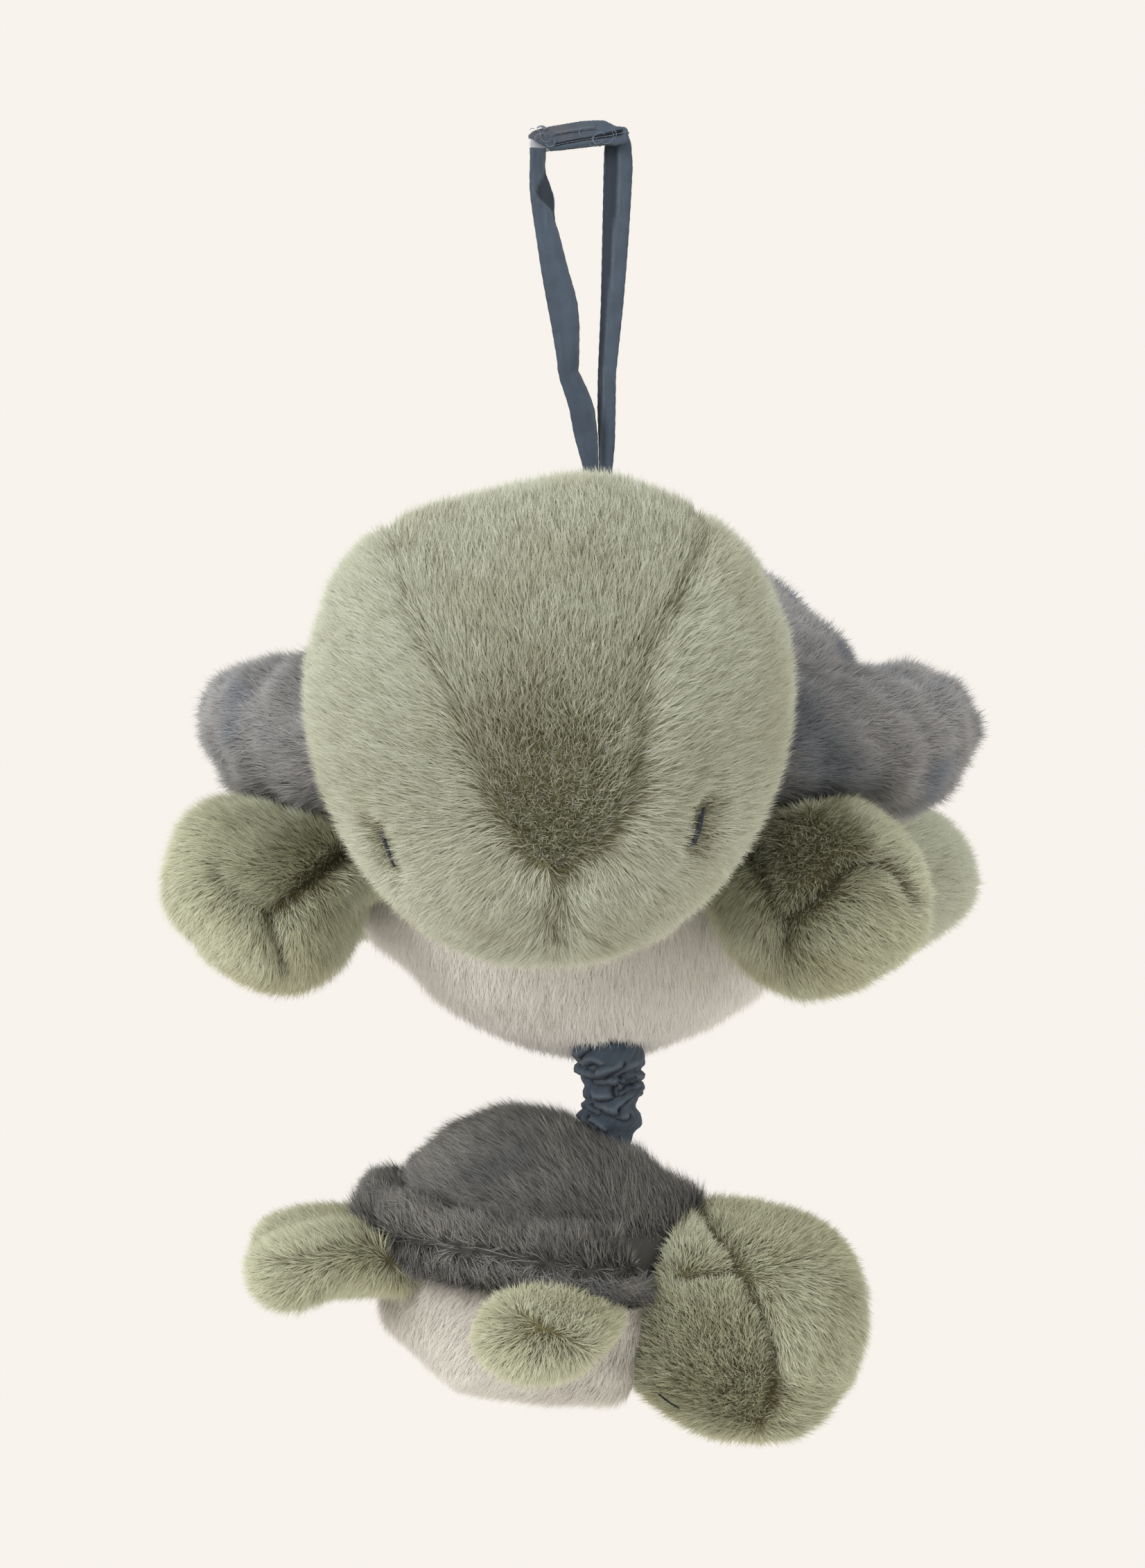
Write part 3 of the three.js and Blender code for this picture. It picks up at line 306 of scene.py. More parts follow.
def softened(node, name, voxel, passes, finish):
    """A CAD skin as one smooth mesh: its loose triangles merged, remeshed evenly and smoothed."""
    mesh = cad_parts[node].data.copy()
    mesh.materials.clear()
    merge = bmesh.new()
    merge.from_mesh(mesh)
    bmesh.ops.remove_doubles(merge, verts=merge.verts, dist=1e-6)
    merge.to_mesh(mesh)
    merge.free()
    rough = new_object(name + "_rough", mesh)
    remesh = rough.modifiers.new("remesh", "REMESH")
    remesh.mode, remesh.voxel_size, remesh.use_smooth_shade = "VOXEL", voxel, True
    smooth = rough.modifiers.new("smooth", "SMOOTH")
    smooth.factor, smooth.iterations = 0.5, passes
    soft = evaluated_copy(rough, name)
    soft.shade_smooth()
    return new_object(name, soft, finish)


for node, name, body in (
        ("cord_inner_run", "cord_inner_braid", "mother"), ("cord_winding", "cord_turns", "drum")):
    fitted(softened(node, name, 0.00035, 2, cord_finish.material), body, "cord", node)

# Gathered sleeve. A tube of slate cotton, 58 mm round and 46 mm long, gathered over the cord to 31 mm.
# Its top is sewn to a turned hem in the belly's hole, and its foot is drawn in and sewn to the baby's back.

SLEEVE_FLAT = (0.058, 0.046)
SLEEVE_RADIUS = 0.0088
SLEEVE_MIDDLE, SLEEVE_HALF = 8.3, 9.8
SLEEVE_ROUND, SLEEVE_ROWS = 192, 200
# Shares of its length that are drawn in to the seams at the top and the foot, and of a crease to its ends.
SEWN_TOP, SEWN_FOOT, CREASE_ENDS = 0.08, 0.14, 0.12
BACK_LOWER, DEEPEST_FOLD = 0.0013, 0.0026
SLEEVE_STRAY, SLEEVE_RIPPLE = 0.0004, 0.00015
WORN_COLOUR = (98, 95, 97)
# Its left and right edges in the front view, and its creases from left to right, all in millimetres.
SLEEVE_LEFT = (
    (-244.0, 3.4), (-244.6, 1.2), (-245.5, -1.2), (-246.6, -2.6), (-248.1, -2.8), (-249.6, -2.4),
    (-251.1, -1.2), (-251.6, -0.8), (-252.3, -1.7), (-253.4, -2.1), (-254.2, -1.7), (-255.1, 0.4),
    (-256.9, 0.7), (-258.0, 1.0), (-259.5, 0.6), (-261.0, 0.7), (-261.8, 1.4), (-262.4, 1.0),
    (-262.9, 0.2), (-263.7, 0.1), (-264.4, 0.7), (-265.0, 0.0), (-266.3, -1.1), (-267.1, -0.6),
    (-268.6, 0.4), (-269.8, 1.9), (-271.2, 3.1), (-277.0, 3.6),
)
SLEEVE_RIGHT = (
    (-244.0, 13.4), (-244.8, 15.0), (-246.0, 16.2), (-248.1, 17.2), (-250.0, 17.6), (-251.5, 17.7),
    (-252.3, 17.5), (-253.0, 16.7), (-253.6, 16.5), (-254.2, 17.4), (-254.8, 18.1), (-255.5, 17.9),
    (-256.1, 16.9), (-256.5, 16.7), (-257.0, 17.3), (-258.0, 17.5), (-258.8, 17.4), (-259.5, 16.9),
    (-260.1, 17.2), (-260.7, 16.9), (-261.4, 15.8), (-262.6, 15.2), (-263.3, 15.0), (-264.1, 15.2),
    (-264.8, 15.9), (-265.6, 16.7), (-266.7, 17.0), (-267.9, 16.8), (-268.8, 16.6), (-269.6, 16.0),
    (-270.2, 15.2), (-272.0, 14.2), (-277.0, 13.4),
)
SLEEVE_CREASES = (
    ((-0.8, -249.1), (0.4, -249.4), (1.5, -248.6), (2.8, -247.5), (4.1, -247.0)),
    ((-0.9, -251.7), (0.7, -251.8), (2.1, -251.0), (3.6, -250.5), (4.9, -251.3), (6.1, -252.2)),
    ((1.5, -252.3), (3.4, -252.7), (5.1, -253.0)),
    ((-1.9, -253.6), (-0.4, -254.0), (1.5, -254.8), (3.4, -254.9), (5.7, -254.6), (8.0, -254.0),
     (9.9, -253.0), (11.8, -251.9), (12.7, -250.8)),
    ((9.8, -255.6), (10.4, -254.6), (11.8, -253.8), (13.7, -252.9), (15.6, -252.1), (17.6, -251.5)),
    ((11.4, -255.1), (13.3, -254.6), (15.6, -254.4)),
    ((10.2, -256.3), (12.1, -256.0), (13.7, -255.7), (15.6, -255.6), (17.8, -255.9)),
    ((1.0, -255.6), (1.9, -256.5), (4.2, -256.9), (6.4, -256.7), (8.7, -256.8), (10.2, -256.9)),
    ((8.9, -257.0), (8.3, -258.2), (8.7, -259.1), (9.9, -259.8), (11.4, -259.7), (12.5, -258.8),
     (14.0, -258.1), (16.3, -257.9), (17.5, -258.2)),
    ((9.1, -258.2), (10.6, -258.0), (12.1, -257.2), (13.7, -256.7), (15.6, -256.4)),
    ((0.8, -259.5), (1.5, -260.6), (3.4, -261.1), (6.1, -261.0), (8.7, -260.3), (10.2, -259.9)),
    ((1.2, -262.2), (2.3, -262.9), (4.9, -263.4), (7.2, -264.3), (9.5, -264.9), (11.4, -264.8),
     (12.1, -263.5), (13.3, -262.2), (15.6, -260.7)),
    ((0.4, -264.3), (2.3, -264.8), (4.2, -265.3), (5.7, -265.0)),
    ((6.1, -264.4), (8.0, -265.4), (10.2, -266.0), (12.5, -266.5), (14.2, -266.3), (15.0, -265.4)),
    ((1.3, -265.4), (1.7, -266.7), (3.0, -267.9), (4.5, -269.2), (5.7, -270.5)),
    ((-0.5, -266.7), (1.1, -268.2), (2.3, -270.0)),
)


def cloth_finish(name, dark, thread, thread_too, slub, weave=1500.0):
    """Plain-woven cotton in one colour: fine crossing threads, paler slubs, worn patches, painted shade in its
    folds and painted highlights on their edges.
    """
    dark, thread, thread_too, slub, worn = (
        linear(*colour) for colour in (dark, thread, thread_too, slub, WORN_COLOUR))
    cloth = Finish(name, **{"Roughness": 0.82, "Sheen Weight": 0.15, "Sheen Roughness": 0.5})
    cloth_place = cloth.node("ShaderNodeUVMap", {"uv_map": "cloth"}).outputs[0]
    warp, weft = (cloth.wave({"bands_direction": way}, weave, 0.6, 1.0, cloth_place) for way in "XY")
    threads = warp * 0.5 + weft * 0.5
    streaks = cloth.node("ShaderNodeMapping", {}, {"Vector": cloth_place, "Scale": (900.0, 60.0, 1.0)})
    slubs = cloth.noise(1.0, 3.0, streaks.outputs[0])
    patches = cloth.noise(160.0, 3.0)
    base = cloth.mixed(patches.over(0.3, 0.7), thread, thread_too)
    base = cloth.mixed(slubs.over(0.62, 0.74) * 0.3, base, slub)
    base = cloth.mixed(cloth.attribute("worn") * patches.over(0.25, 0.6), base, worn)
    # rim is a painted highlight on the edges of folds and ridges, and shade, two lines on, is painted shade in
    # creases, the slot and sunk facets.
    base = cloth.mixed(cloth.attribute("rim") * 0.5, base, slub)
    base = cloth.mixed((1 - threads) * 0.35, base, dark)
    base = cloth.mixed(cloth.attribute("shade"), base, dark)
    cloth.feed("Base Color", base)
    cloth.bumped(threads * 0.5 + slubs * 0.5, 0.00016, 0.7)
    return cloth.material


slate_cloth = cloth_finish("slate_cotton", (33, 41, 54), (72, 86, 101), (82, 98, 115), (130, 142, 154))


def corner_points(mesh):
    """The number of the point at each corner of a mesh's faces."""
    corners = np.zeros(len(mesh.loops), np.int32)
    mesh.loops.foreach_get("vertex_index", corners)
    return corners


def cloth_map(mesh, places):
    """Gives a mesh the map named cloth, in metres along its threads, (across, along) for each corner."""
    layer = mesh.uv_layers.new(name="cloth")
    layer.data.foreach_set("uv", np.asarray(places, np.float32).ravel())


def kept_on(mesh, name, values):
    """A number for each point of a mesh, kept under a name for its finish or its pile to read."""
    layer = mesh.attributes.new(name, "FLOAT", "POINT")
    layer.data.foreach_set("value", np.asarray(values, np.float32).ravel())


def hump(way, width):
    """1 where the way is 0, and falling smoothly to nothing on both sides."""
    return np.exp(-(way / width) ** 2)


def at_heights(rows, column, heights):
    """A column of a table read at some heights, in metres. The table's rows go downwards."""
    steps = rows[::-1]
    return np.interp(heights, [row[0] / 1000 for row in steps], [row[column] / 1000 for row in steps])


share = np.linspace(0, 1, SLEEVE_ROWS + 1)[:, None]
high = (SLEEVE_LEFT[0][0] + (SLEEVE_LEFT[-1][0] - SLEEVE_LEFT[0][0]) * share) / 1000
angle = 2 * np.pi * np.arange(SLEEVE_ROUND)[None, :] / SLEEVE_ROUND
left_edge, right_edge = at_heights(SLEEVE_LEFT, 1, high), at_heights(SLEEVE_RIGHT, 1, high)
kept = np.minimum(1, share / SEWN_TOP) * np.minimum(1, (1 - share) / SEWN_FOOT)
swell, sag, sleeve_shade, sleeve_painted_highlight = (0 * high * angle for _ in range(4))
full_turn = 2 * np.pi * SLEEVE_RADIUS
for start, lower in ((0.0, 0.0), (np.pi, BACK_LOWER)):
    # The same creases run over the front and, a little lower, over the back.
    for line in SLEEVE_CREASES:
        turns = [start + math.asin(max(-0.97, min(0.97, (x - SLEEVE_MIDDLE) / SLEEVE_HALF))) for x, z in line]
        ends = [(SLEEVE_RADIUS * turn, z / 1000 - lower) for turn, (x, z) in zip(turns, line)]
        best, side, place = 1.0 + 0 * high * angle, 0 * high * angle, 0 * high * angle
        for k, ((ax, az), (bx, bz)) in enumerate(zip(ends[:-1], ends[1:])):
            dx, dz = bx - ax, bz - az
            px = (SLEEVE_RADIUS * angle - ax + full_turn / 2) % full_turn - full_turn / 2
            pz = high - az
            t = np.clip((px * dx + pz * dz) / (dx * dx + dz * dz), 0, 1)
            far = np.hypot(px - t * dx, pz - t * dz)
            nearer = far < best
            best = np.where(nearer, far, best)
            side = np.where(nearer, np.sign(dx * pz - dz * px), side)
            place = np.where(nearer, (k + t) / (len(ends) - 1), place)
        ends_by = np.minimum(1, place / CREASE_ENDS) * np.minimum(1, (1 - place) / CREASE_ENDS)
        over, mm = side > 0, best * 1000
        fold = np.where(over, 0.8 * hump(mm, 1.5) - 1.5 * hump(mm, 0.4), -1.5 * hump(mm, 1.1))
        swell += ends_by * fold / 1000
        sag += ends_by * np.where(over, hump(mm, 1.1), -0.15 * hump(mm, 0.8)) / 1000
        # Painted shade: a dark line in each crease and a shadow just below it, under the fold. Painted
        # highlight: a pale line along the fold's edge just above it.
        sleeve_shade = np.maximum(sleeve_shade, ends_by ** 0.5 * np.where(
            over, hump(mm, 0.34), hump(mm, 0.6) + 0.35 * hump(mm, 1.5)))
        sleeve_painted_highlight = np.maximum(sleeve_painted_highlight, ends_by * np.where(over, hump(mm - 0.95, 0.4), 0))
strayed = SLEEVE_STRAY * np.sin(5 * angle + 9 * share) * np.sin(31 * share + 2 * angle)
strayed += SLEEVE_RIPPLE * np.sin(23 * angle + 70 * share)
folded = np.maximum(swell, -DEEPEST_FOLD) * (0.35 + 0.65 * np.abs(np.cos(angle))) + strayed
half = (right_edge - left_edge) / 2 + kept * folded
sleeve_rings = np.stack([
    (left_edge + right_edge) / 2 + half * np.sin(angle), PIVOT.y - half * np.cos(angle), high - kept * sag],
    axis=-1)
sleeve_mesh = tube("gathered_cloth", sleeve_rings.tolist(), capped=False)
# The whole sleeve is painted a little darker as painted shade, and its creases more.
kept_on(sleeve_mesh, "shade", np.minimum(1, 0.18 + kept * sleeve_shade))
kept_on(sleeve_mesh, "rim", kept * sleeve_painted_highlight * (1 - np.minimum(1, sleeve_shade)))
corners = corner_points(sleeve_mesh)
cloth_map(sleeve_mesh, np.column_stack([
    (corners % SLEEVE_ROUND) / SLEEVE_ROUND * SLEEVE_FLAT[0],
    (corners // SLEEVE_ROUND) / SLEEVE_ROWS * SLEEVE_FLAT[1]]))
gathered_cloth = new_object("gathered_cloth", sleeve_mesh, slate_cloth)
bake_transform(gathered_cloth)
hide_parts("gathered_sleeve")

fitted(softened("sleeve_hem", "turned_hem", 0.00025, 3, slate_cloth), "hem", "slate_cloth", "sleeve_hem")

# Hanging strap. Two legs of cotton tape, folded in half along their length and sewn, about 8 mm wide. The
# right leg shows its fold and runs on behind the top band. The left leg twists once near its top.

STRAP_THICK = 0.0016
LEG_EDGE_STRAY, LEG_FACE_STRAY, LEG_GROOVE = 0.00012, 0.00022, 0.0003
LEG_RINGS, LEG_SIDES = 150, 28
# Height, left edge, crease and right edge in the front view, then the depth of both edges, in millimetres.
RIGHT_LEG = (
    (4.2, 9.6, 10.2, 12.4, 0.6, 0.4), (2.3, 7.2, 10.6, 13.6, 0.6, 0.2), (0.8, 6.4, 10.5, 13.8, 0.6, -0.2),
    (-4.9, 6.2, 10.1, 14.2, 0.6, -0.6), (-14.4, 6.0, 9.8, 13.7, 0.8, -0.6),
    (-23.9, 5.8, 8.9, 13.1, 1.2, -0.6), (-33.4, 5.6, 8.1, 12.4, 1.6, -0.6),
    (-42.9, 5.4, 7.4, 11.6, 2.0, -0.6), (-52.4, 5.0, 6.7, 10.6, 2.6, -0.4),
    (-61.9, 4.6, 6.2, 9.6, 3.0, -0.2), (-71.4, 4.5, 5.8, 9.5, 3.0, 0.0), (-80.9, 4.8, 5.3, 9.3, 3.0, 0.0),
    (-88.5, 4.9, 5.1, 8.6, 3.0, 0.2), (-114.0, 3.3, 3.5, 9.1, 1.6, -1.0),
)
LEFT_LEG = (
    (-0.3, -14.0, -9.5, -9.5, -5.0, -3.2), (-4.9, -14.0, -9.8, -9.8, -4.9, -1.8),
    (-6.8, -14.1, -9.9, -9.7, -4.9, -1.6), (-10.6, -14.1, -11.8, -8.3, -4.8, -1.8),
    (-12.4, -14.0, -12.3, -7.7, -4.6, -2.0), (-14.4, -13.8, -11.3, -7.2, -4.4, -2.2),
    (-17.3, -13.4, -7.9, -7.3, -4.2, -2.6), (-20.1, -13.0, -7.2, -7.1, -4.0, -2.8),
    (-23.9, -12.4, -5.9, -5.9, -3.9, -3.0), (-33.4, -11.0, -3.5, -3.5, -3.9, -3.2),
    (-39.1, -10.0, -1.8, -1.8, -3.8, -3.2), (-42.9, -9.3, -0.9, -0.9, -3.7, -3.2),
    (-48.6, -8.2, -0.4, -0.4, -3.6, -3.0), (-58.1, -6.6, -0.5, -0.5, -3.6, -1.6),
    (-61.0, -6.4, -0.8, -0.7, -3.8, -1.0), (-63.8, -5.8, 0.6, 0.7, -3.8, -1.2),
    (-67.6, -4.5, 2.3, 2.4, -3.8, -1.6), (-71.4, -3.3, 3.6, 3.7, -3.8, -2.0),
    (-79.0, -1.9, 4.5, 4.6, -3.8, -2.0), (-87.6, 0.5, 4.8, 4.8, -4.2, -0.8),
    (-114.0, -1.7, 5.5, 5.5, -3.2, -1.4),
)


def soft_step(low, high, values):
    """0 at low, 1 at high, and a smooth rise between them."""
    t = np.minimum(np.maximum((values - low) / (high - low), 0), 1)
    return t * t * (3 - 2 * t)


def wander(seed, *angles):
    """A smooth number from -1 to 1 that strays slowly as the angles change."""
    total = 0.0
    for k, angle in enumerate(angles):
        total += math.sin(angle * (1 + 0.7 * k) + seed * 2.399 + k)
        total += 0.5 * math.sin(2.3 * angle + seed * 1.7 + k)
    return total / (1.5 * len(angles))


def cloth_piece(name, places, faces, material, **kept):
    """A closed piece of cloth with its map laid flat in the front view, and what its finish reads."""
    mesh = outward_mesh(name, places, faces)
    for attribute, values in kept.items():
        kept_on(mesh, attribute, values)
    cloth_map(mesh, np.array(places)[corner_points(mesh)][:, (0, 2)])
    return new_object(name, mesh, material)


def strap_leg(name, rows, recess, far_side):
    """One leg. The part past the crease, on the far side, is sunk by the recess and painted darker as painted
    shade, with a painted highlight beside the crease.
    """
    heights = np.linspace(rows[0][0], rows[-1][0], LEG_RINGS + 1) / 1000
    left, crease, right, left_deep, right_deep = (at_heights(rows, k, heights) for k in range(1, 6))
    places, shade, rim = [], [], []
    for i, height in enumerate(heights):
        for j in range(LEG_SIDES):
            front = j < LEG_SIDES // 2
            t = (j % (LEG_SIDES // 2)) / (LEG_SIDES // 2 - 1)
            u = 0.5 - 0.5 * math.cos(math.pi * (t if front else 1 - t)) * (1 - 0.06 * math.sin(math.pi * t))
            x = left[i] + (right[i] - left[i]) * u + LEG_EDGE_STRAY * wander(3, height * 1900, u * 3)
            past = (x - crease[i]) * far_side * 1000
            sunk = soft_step(-0.05, 0.25, past) if front else 0.0
            thick = STRAP_THICK / 2 * (1 - abs(2 * u - 1) ** 5) + 0.0001
            y = left_deep[i] + (right_deep[i] - left_deep[i]) * u
            y += (-thick if front else thick) + sunk * recess / 1000
            if front:
                y += LEG_FACE_STRAY * wander(5, height * 700, u * 5) + LEG_GROOVE * hump(u - 0.42, 0.07)
            places.append((x, y, height))
            # Painted shade over the sunk part, with a painted highlight just before the crease; the edges, the
            # whole face a little, and the back are painted darker too.
            edge = soft_step(0.4, 0.5, abs(u - 0.5)) * 0.25
            shade.append(min(1.0, 0.06 + 0.78 * sunk + edge) if front else 0.2)
            rim.append(0.5 * hump(past + 0.35, 0.3) if front else 0.0)
    return cloth_piece(name, places, tube_faces(LEG_RINGS + 1, LEG_SIDES), slate_cloth, shade=shade, rim=rim)


fitted(strap_leg("strap_right_leg", RIGHT_LEG, 0.9, -1), "mother", "slate_cloth")
fitted(strap_leg("strap_left_leg", LEFT_LEG, 0.7, 1), "mother", "slate_cloth", "strap_front")

# Hook-and-loop closure. The band's two cloth layers lap over a black hook tape and loop tape, and a white
# tape end shows at the left. The front layer's raw edge is sewn in a ridge, over an open slot painted dark as
# painted shade.

# Across, lower edge and upper edge of the band in the front view, in millimetres.
BAND_EDGES = (
    (-14.2, 2.6, 3.3), (-13.0, 2.0, 4.3), (-11.8, 1.2, 4.7), (-10.3, 0.4, 5.1), (-9.1, -0.3, 5.35),
    (-8.6, -0.8, 5.5), (-5.0, -0.5, 6.1), (0.0, 0.1, 6.95), (4.0, 0.55, 7.2), (6.4, 0.8, 7.15),
    (8.0, 0.8, 6.4), (9.5, 0.6, 5.6), (11.8, 0.9, 5.4), (12.6, 1.3, 5.0), (13.0, 1.7, 4.4),
)
BAND_RIDGE = ((-8.0, 3.2), (-3.4, 4.0), (0.4, 4.6), (4.6, 5.1))
BAND_SLOT = ((-7.6, 0.3), (-3.4, 1.2), (-0.4, 1.75), (4.2, 2.5), (8.0, 3.1), (12.0, 4.0))
BAND_LEFT, BAND_RIGHT = BAND_EDGES[0][0] / 1000, BAND_EDGES[-1][0] / 1000
RIDGE_HIGH, RIDGE_FOOT, SLOT_DEEP, SLOT_LIP = 0.0005, 0.0003, 0.0016, 0.0003
BAND_STRAY, BAND_END_STRAY, BAND_ROUNDED = 0.00010, 0.00022, 0.0005


def read_across(line, x, column=1):
    """The height of a line of the band at a place across it, in metres."""
    return np.interp(x * 1000, [point[0] for point in line], [point[column] for point in line]) / 1000


def along_line(line, x):
    """The height of a line at a place across the band, and 1 but near the line's ends and past them."""
    return read_across(line, x), soft_step(0, 1.2, min(x * 1000 - line[0][0], line[-1][0] - x * 1000))


def ridge_and_slot(x, z):
    """How far the raw edge's ridge and the slot push the cloth back, the painted shade in the slot and at the
    ridge's foot, and the painted highlight along the ridge's top.
    """
    ridge, on_ridge = along_line(BAND_RIDGE, x)
    slot, in_slot = along_line(BAND_SLOT, x)
    up, gap = z - ridge, abs(z - slot) / (0.00035 + 0.00045 * soft_step(0.002, 0.010, x))
    back = on_ridge * (-RIDGE_HIGH * hump(up, 0.0012) if up > 0 else RIDGE_FOOT * hump(up, 0.0004))
    back += in_slot * (SLOT_DEEP * math.exp(-gap ** 4) - SLOT_LIP * hump(z - slot + 0.0011, 0.0006))
    dark = max(in_slot * math.exp(-(gap * 0.85) ** 4), on_ridge * 0.8 * hump(up + 0.0001, 0.00017))
    return back, dark, on_ridge * 0.8 * hump(up - 0.0003, 0.00018)


def cloth_band(name, front, back, material, edge=0.0, left=BAND_LEFT, right=BAND_RIGHT, marked=False,
               level=None):
    """A flat closed band of cloth between two depths, inside the band's edges or between two level ones. The
    marked one has the raw edge, the slot and the worn patch."""
    columns, rows = (150, 40) if marked else (60, 14)
    places, shade, rim, worn = [], [], [], []
    for side, depth in ((-1, front), (1, back)):
        for i in range(columns + 1):
            x = left + (right - left) * i / columns
            low, top = level or (read_across(BAND_EDGES, x, column) for column in (1, 2))
            low, top = low + edge, top - edge
            for j in range(rows + 1):
                v = j / rows
                to_edge, to_end = abs(2 * v - 1), abs(2 * i / columns - 1)
                z = low + (top - low) * v + BAND_STRAY * wander(9, x * 5200, v * 2) * to_edge ** 6
                y, dark, pale = depth, 0.0, 0.0
                if side < 0:
                    y += BAND_ROUNDED * min(1, to_edge ** 6 + to_end ** 24)
                    y += BAND_STRAY * wander(4, x * 1400, v * 7)
                # Painted shade in the slot and at the ridge's foot, and a painted highlight along the ridge's
                # top.
                if side < 0 and marked:
                    pushed, dark, pale = ridge_and_slot(x, z)
                    y += pushed
                places.append((x + BAND_END_STRAY * wander(6, v * 17 + i) * to_end ** 16, y, z))
                shade.append(min(1, dark))
                rim.append(pale)
                worn.append(0.75 * soft_step(0.0, 0.0035, z) * soft_step(0.007, -0.008, x) if marked else 0.0)
    width, count = rows + 1, (columns + 1) * (rows + 1)
    faces = []
    for i in range(columns):
        for a in range(i * width, i * width + rows):
            b = count + a
            faces += [(a, a + width, a + width + 1, a + 1), (b + 1, b + width + 1, b + width, b)]
        faces += [(a + width, a, count + a, count + a + width) for a in (i * width, i * width + rows)]
    for a in (*range(rows), *range(columns * width, columns * width + rows)):
        faces.append((a, a + 1, count + a + 1, count + a))
    return cloth_piece(name, places, faces, material, shade=shade, rim=rim, worn=worn)


white_cloth = cloth_finish(
    "white_satin_tape", (150, 150, 160), (214, 214, 220), (228, 228, 232), (240, 240, 242), 2600.0)
fitted(cloth_band("band_back_layer", -0.0008, 0.0008, slate_cloth, edge=0.0001),
       "mother", "slate_cloth", "strap_back")
fitted(cloth_band("band_front_layer", -0.0049, -0.0033, slate_cloth, marked=True),
       "closure", "slate_cloth", "closure_flap")
fitted(cloth_band("white_tape_end", -0.0019, -0.0011, white_cloth, left=-0.0140, right=-0.0088,
                  level=(-0.0010, 0.0032)),
       "mother", "white_tape", "tape_end")


def repeater(name, sockets):
    """A Geometry Nodes tree with named inputs, and the node that reads them."""
    tree = bpy.data.node_groups.new(name, "GeometryNodeTree")
    maker = NodeMaker(tree)
    tree.interface.new_socket(name="Geometry", in_out="INPUT", socket_type="NodeSocketGeometry")
    for socket, kind in sockets.items():
        tree.interface.new_socket(name=socket, in_out="INPUT", socket_type="NodeSocket" + kind)
    tree.interface.new_socket(name="Geometry", in_out="OUTPUT", socket_type="NodeSocketGeometry")
    return maker, maker.node("NodeGroupInput").outputs


def repeated(source, name, tree, **values):
    """The plain mesh that a tree makes from a source object, with its inputs set by name."""
    modifier = source.modifiers.new(tree.name, "NODES")
    modifier.node_group = tree
    for item in tree.interface.items_tree:
        if item.in_out == "INPUT" and item.name in values:
            modifier[item.identifier] = values[item.name]
    return evaluated_copy(source, name)


def combined(maker, x, y, z):
    return maker.node("ShaderNodeCombineXYZ", {}, {0: x, 1: y, 2: z}).outputs[0]


def turned(maker, rotation, by):
    node = maker.node("FunctionNodeRotateRotation", {"rotation_space": "LOCAL"}, {
        "Rotation": rotation, "Rotate By": by})
    return node.outputs[0]


def chance(maker, low, high, seed):
    """A random number between two for each copy."""
    node = maker.node("FunctionNodeRandomValue", {"data_type": "FLOAT"}, {2: low, 3: high, "Seed": seed})
    return Shade(maker, node.outputs[1])


def grown(maker, copies, material):
    """Copies made real, with their material."""
    real = maker.node("GeometryNodeRealizeInstances", {}, {0: copies})
    return maker.node("GeometryNodeSetMaterial", {}, {
        "Geometry": real.outputs[0], "Material": material}).outputs[0]


# Each short thread is a bent rod. The same tree sets stitches along a line and hooks over a tape.
rod_tree, given = repeater("short_threads", {
    "Spacing": "Float", "Length": "Float", "Radius": "Float", "Bow": "Float", "Turn": "Vector",
    "Stray": "Float", "Seed": "Int", "Material": "Material"})
rod_places = rod_tree.node("GeometryNodeCurveToPoints", {"mode": "LENGTH"}, {
    "Curve": given["Geometry"], "Length": given["Spacing"]}).outputs
rod_line = rod_tree.node("GeometryNodeCurveQuadraticBezier", {}, {
    "Resolution": 4, "Start": (-0.5, 0, 0), "Middle": combined(rod_tree, 0, 0, given["Bow"]),
    "End": (0.5, 0, 0)})
rod_profile = rod_tree.node("GeometryNodeCurvePrimitiveCircle", {}, {
    "Resolution": 5, "Radius": given["Radius"]})
rod_sized = rod_tree.node("GeometryNodeTransform", {}, {
    "Geometry": rod_line.outputs[0], "Scale": combined(rod_tree, *[given["Length"]] * 3)})
rod = rod_tree.node("GeometryNodeCurveToMesh", {}, {
    "Curve": rod_sized.outputs[0], "Profile Curve": rod_profile.outputs[0], "Fill Caps": True})
stray = chance(rod_tree, Shade(rod_tree, given["Stray"]) * -1.0, given["Stray"], given["Seed"])
rods = rod_tree.node("GeometryNodeInstanceOnPoints", {}, {
    "Points": rod_places["Points"], "Instance": rod.outputs[0],
    "Rotation": turned(rod_tree, turned(rod_tree, rod_places["Rotation"], given["Turn"]),
                       combined(rod_tree, stray, stray, stray))})
rod_tree.node("NodeGroupOutput", {}, {0: grown(rod_tree, rods.outputs[0], given["Material"])})


def threads_along(name, lines, material, **values):
    """Short threads set along lines of points."""
    curve = bpy.data.curves.new(name + "_lines", "CURVE")
    curve.dimensions = "3D"
    for line in lines:
        path = curve.splines.new("POLY")
        path.points.add(len(line) - 1)
        for point, place in zip(path.points, line):
            point.co = (*place, 1)
    mesh = repeated(new_object(name + "_lines", curve), name, rod_tree.tree, Material=material, **values)
    mesh.shade_smooth()
    return new_object(name, mesh)


thread_finish = Finish("slate_sewing_thread", **{"Roughness": 0.6})
thread_finish.coloured(thread_finish.noise(900.0), (92, 106, 122), (150, 162, 176))


def band_row(line, depth, shift):
    """Points along a line of the band, for a row of threads."""
    return [(x / 1000, depth, read_across(line, x / 1000) + shift)
            for x in np.linspace(line[0][0], line[-1][0], 40)]


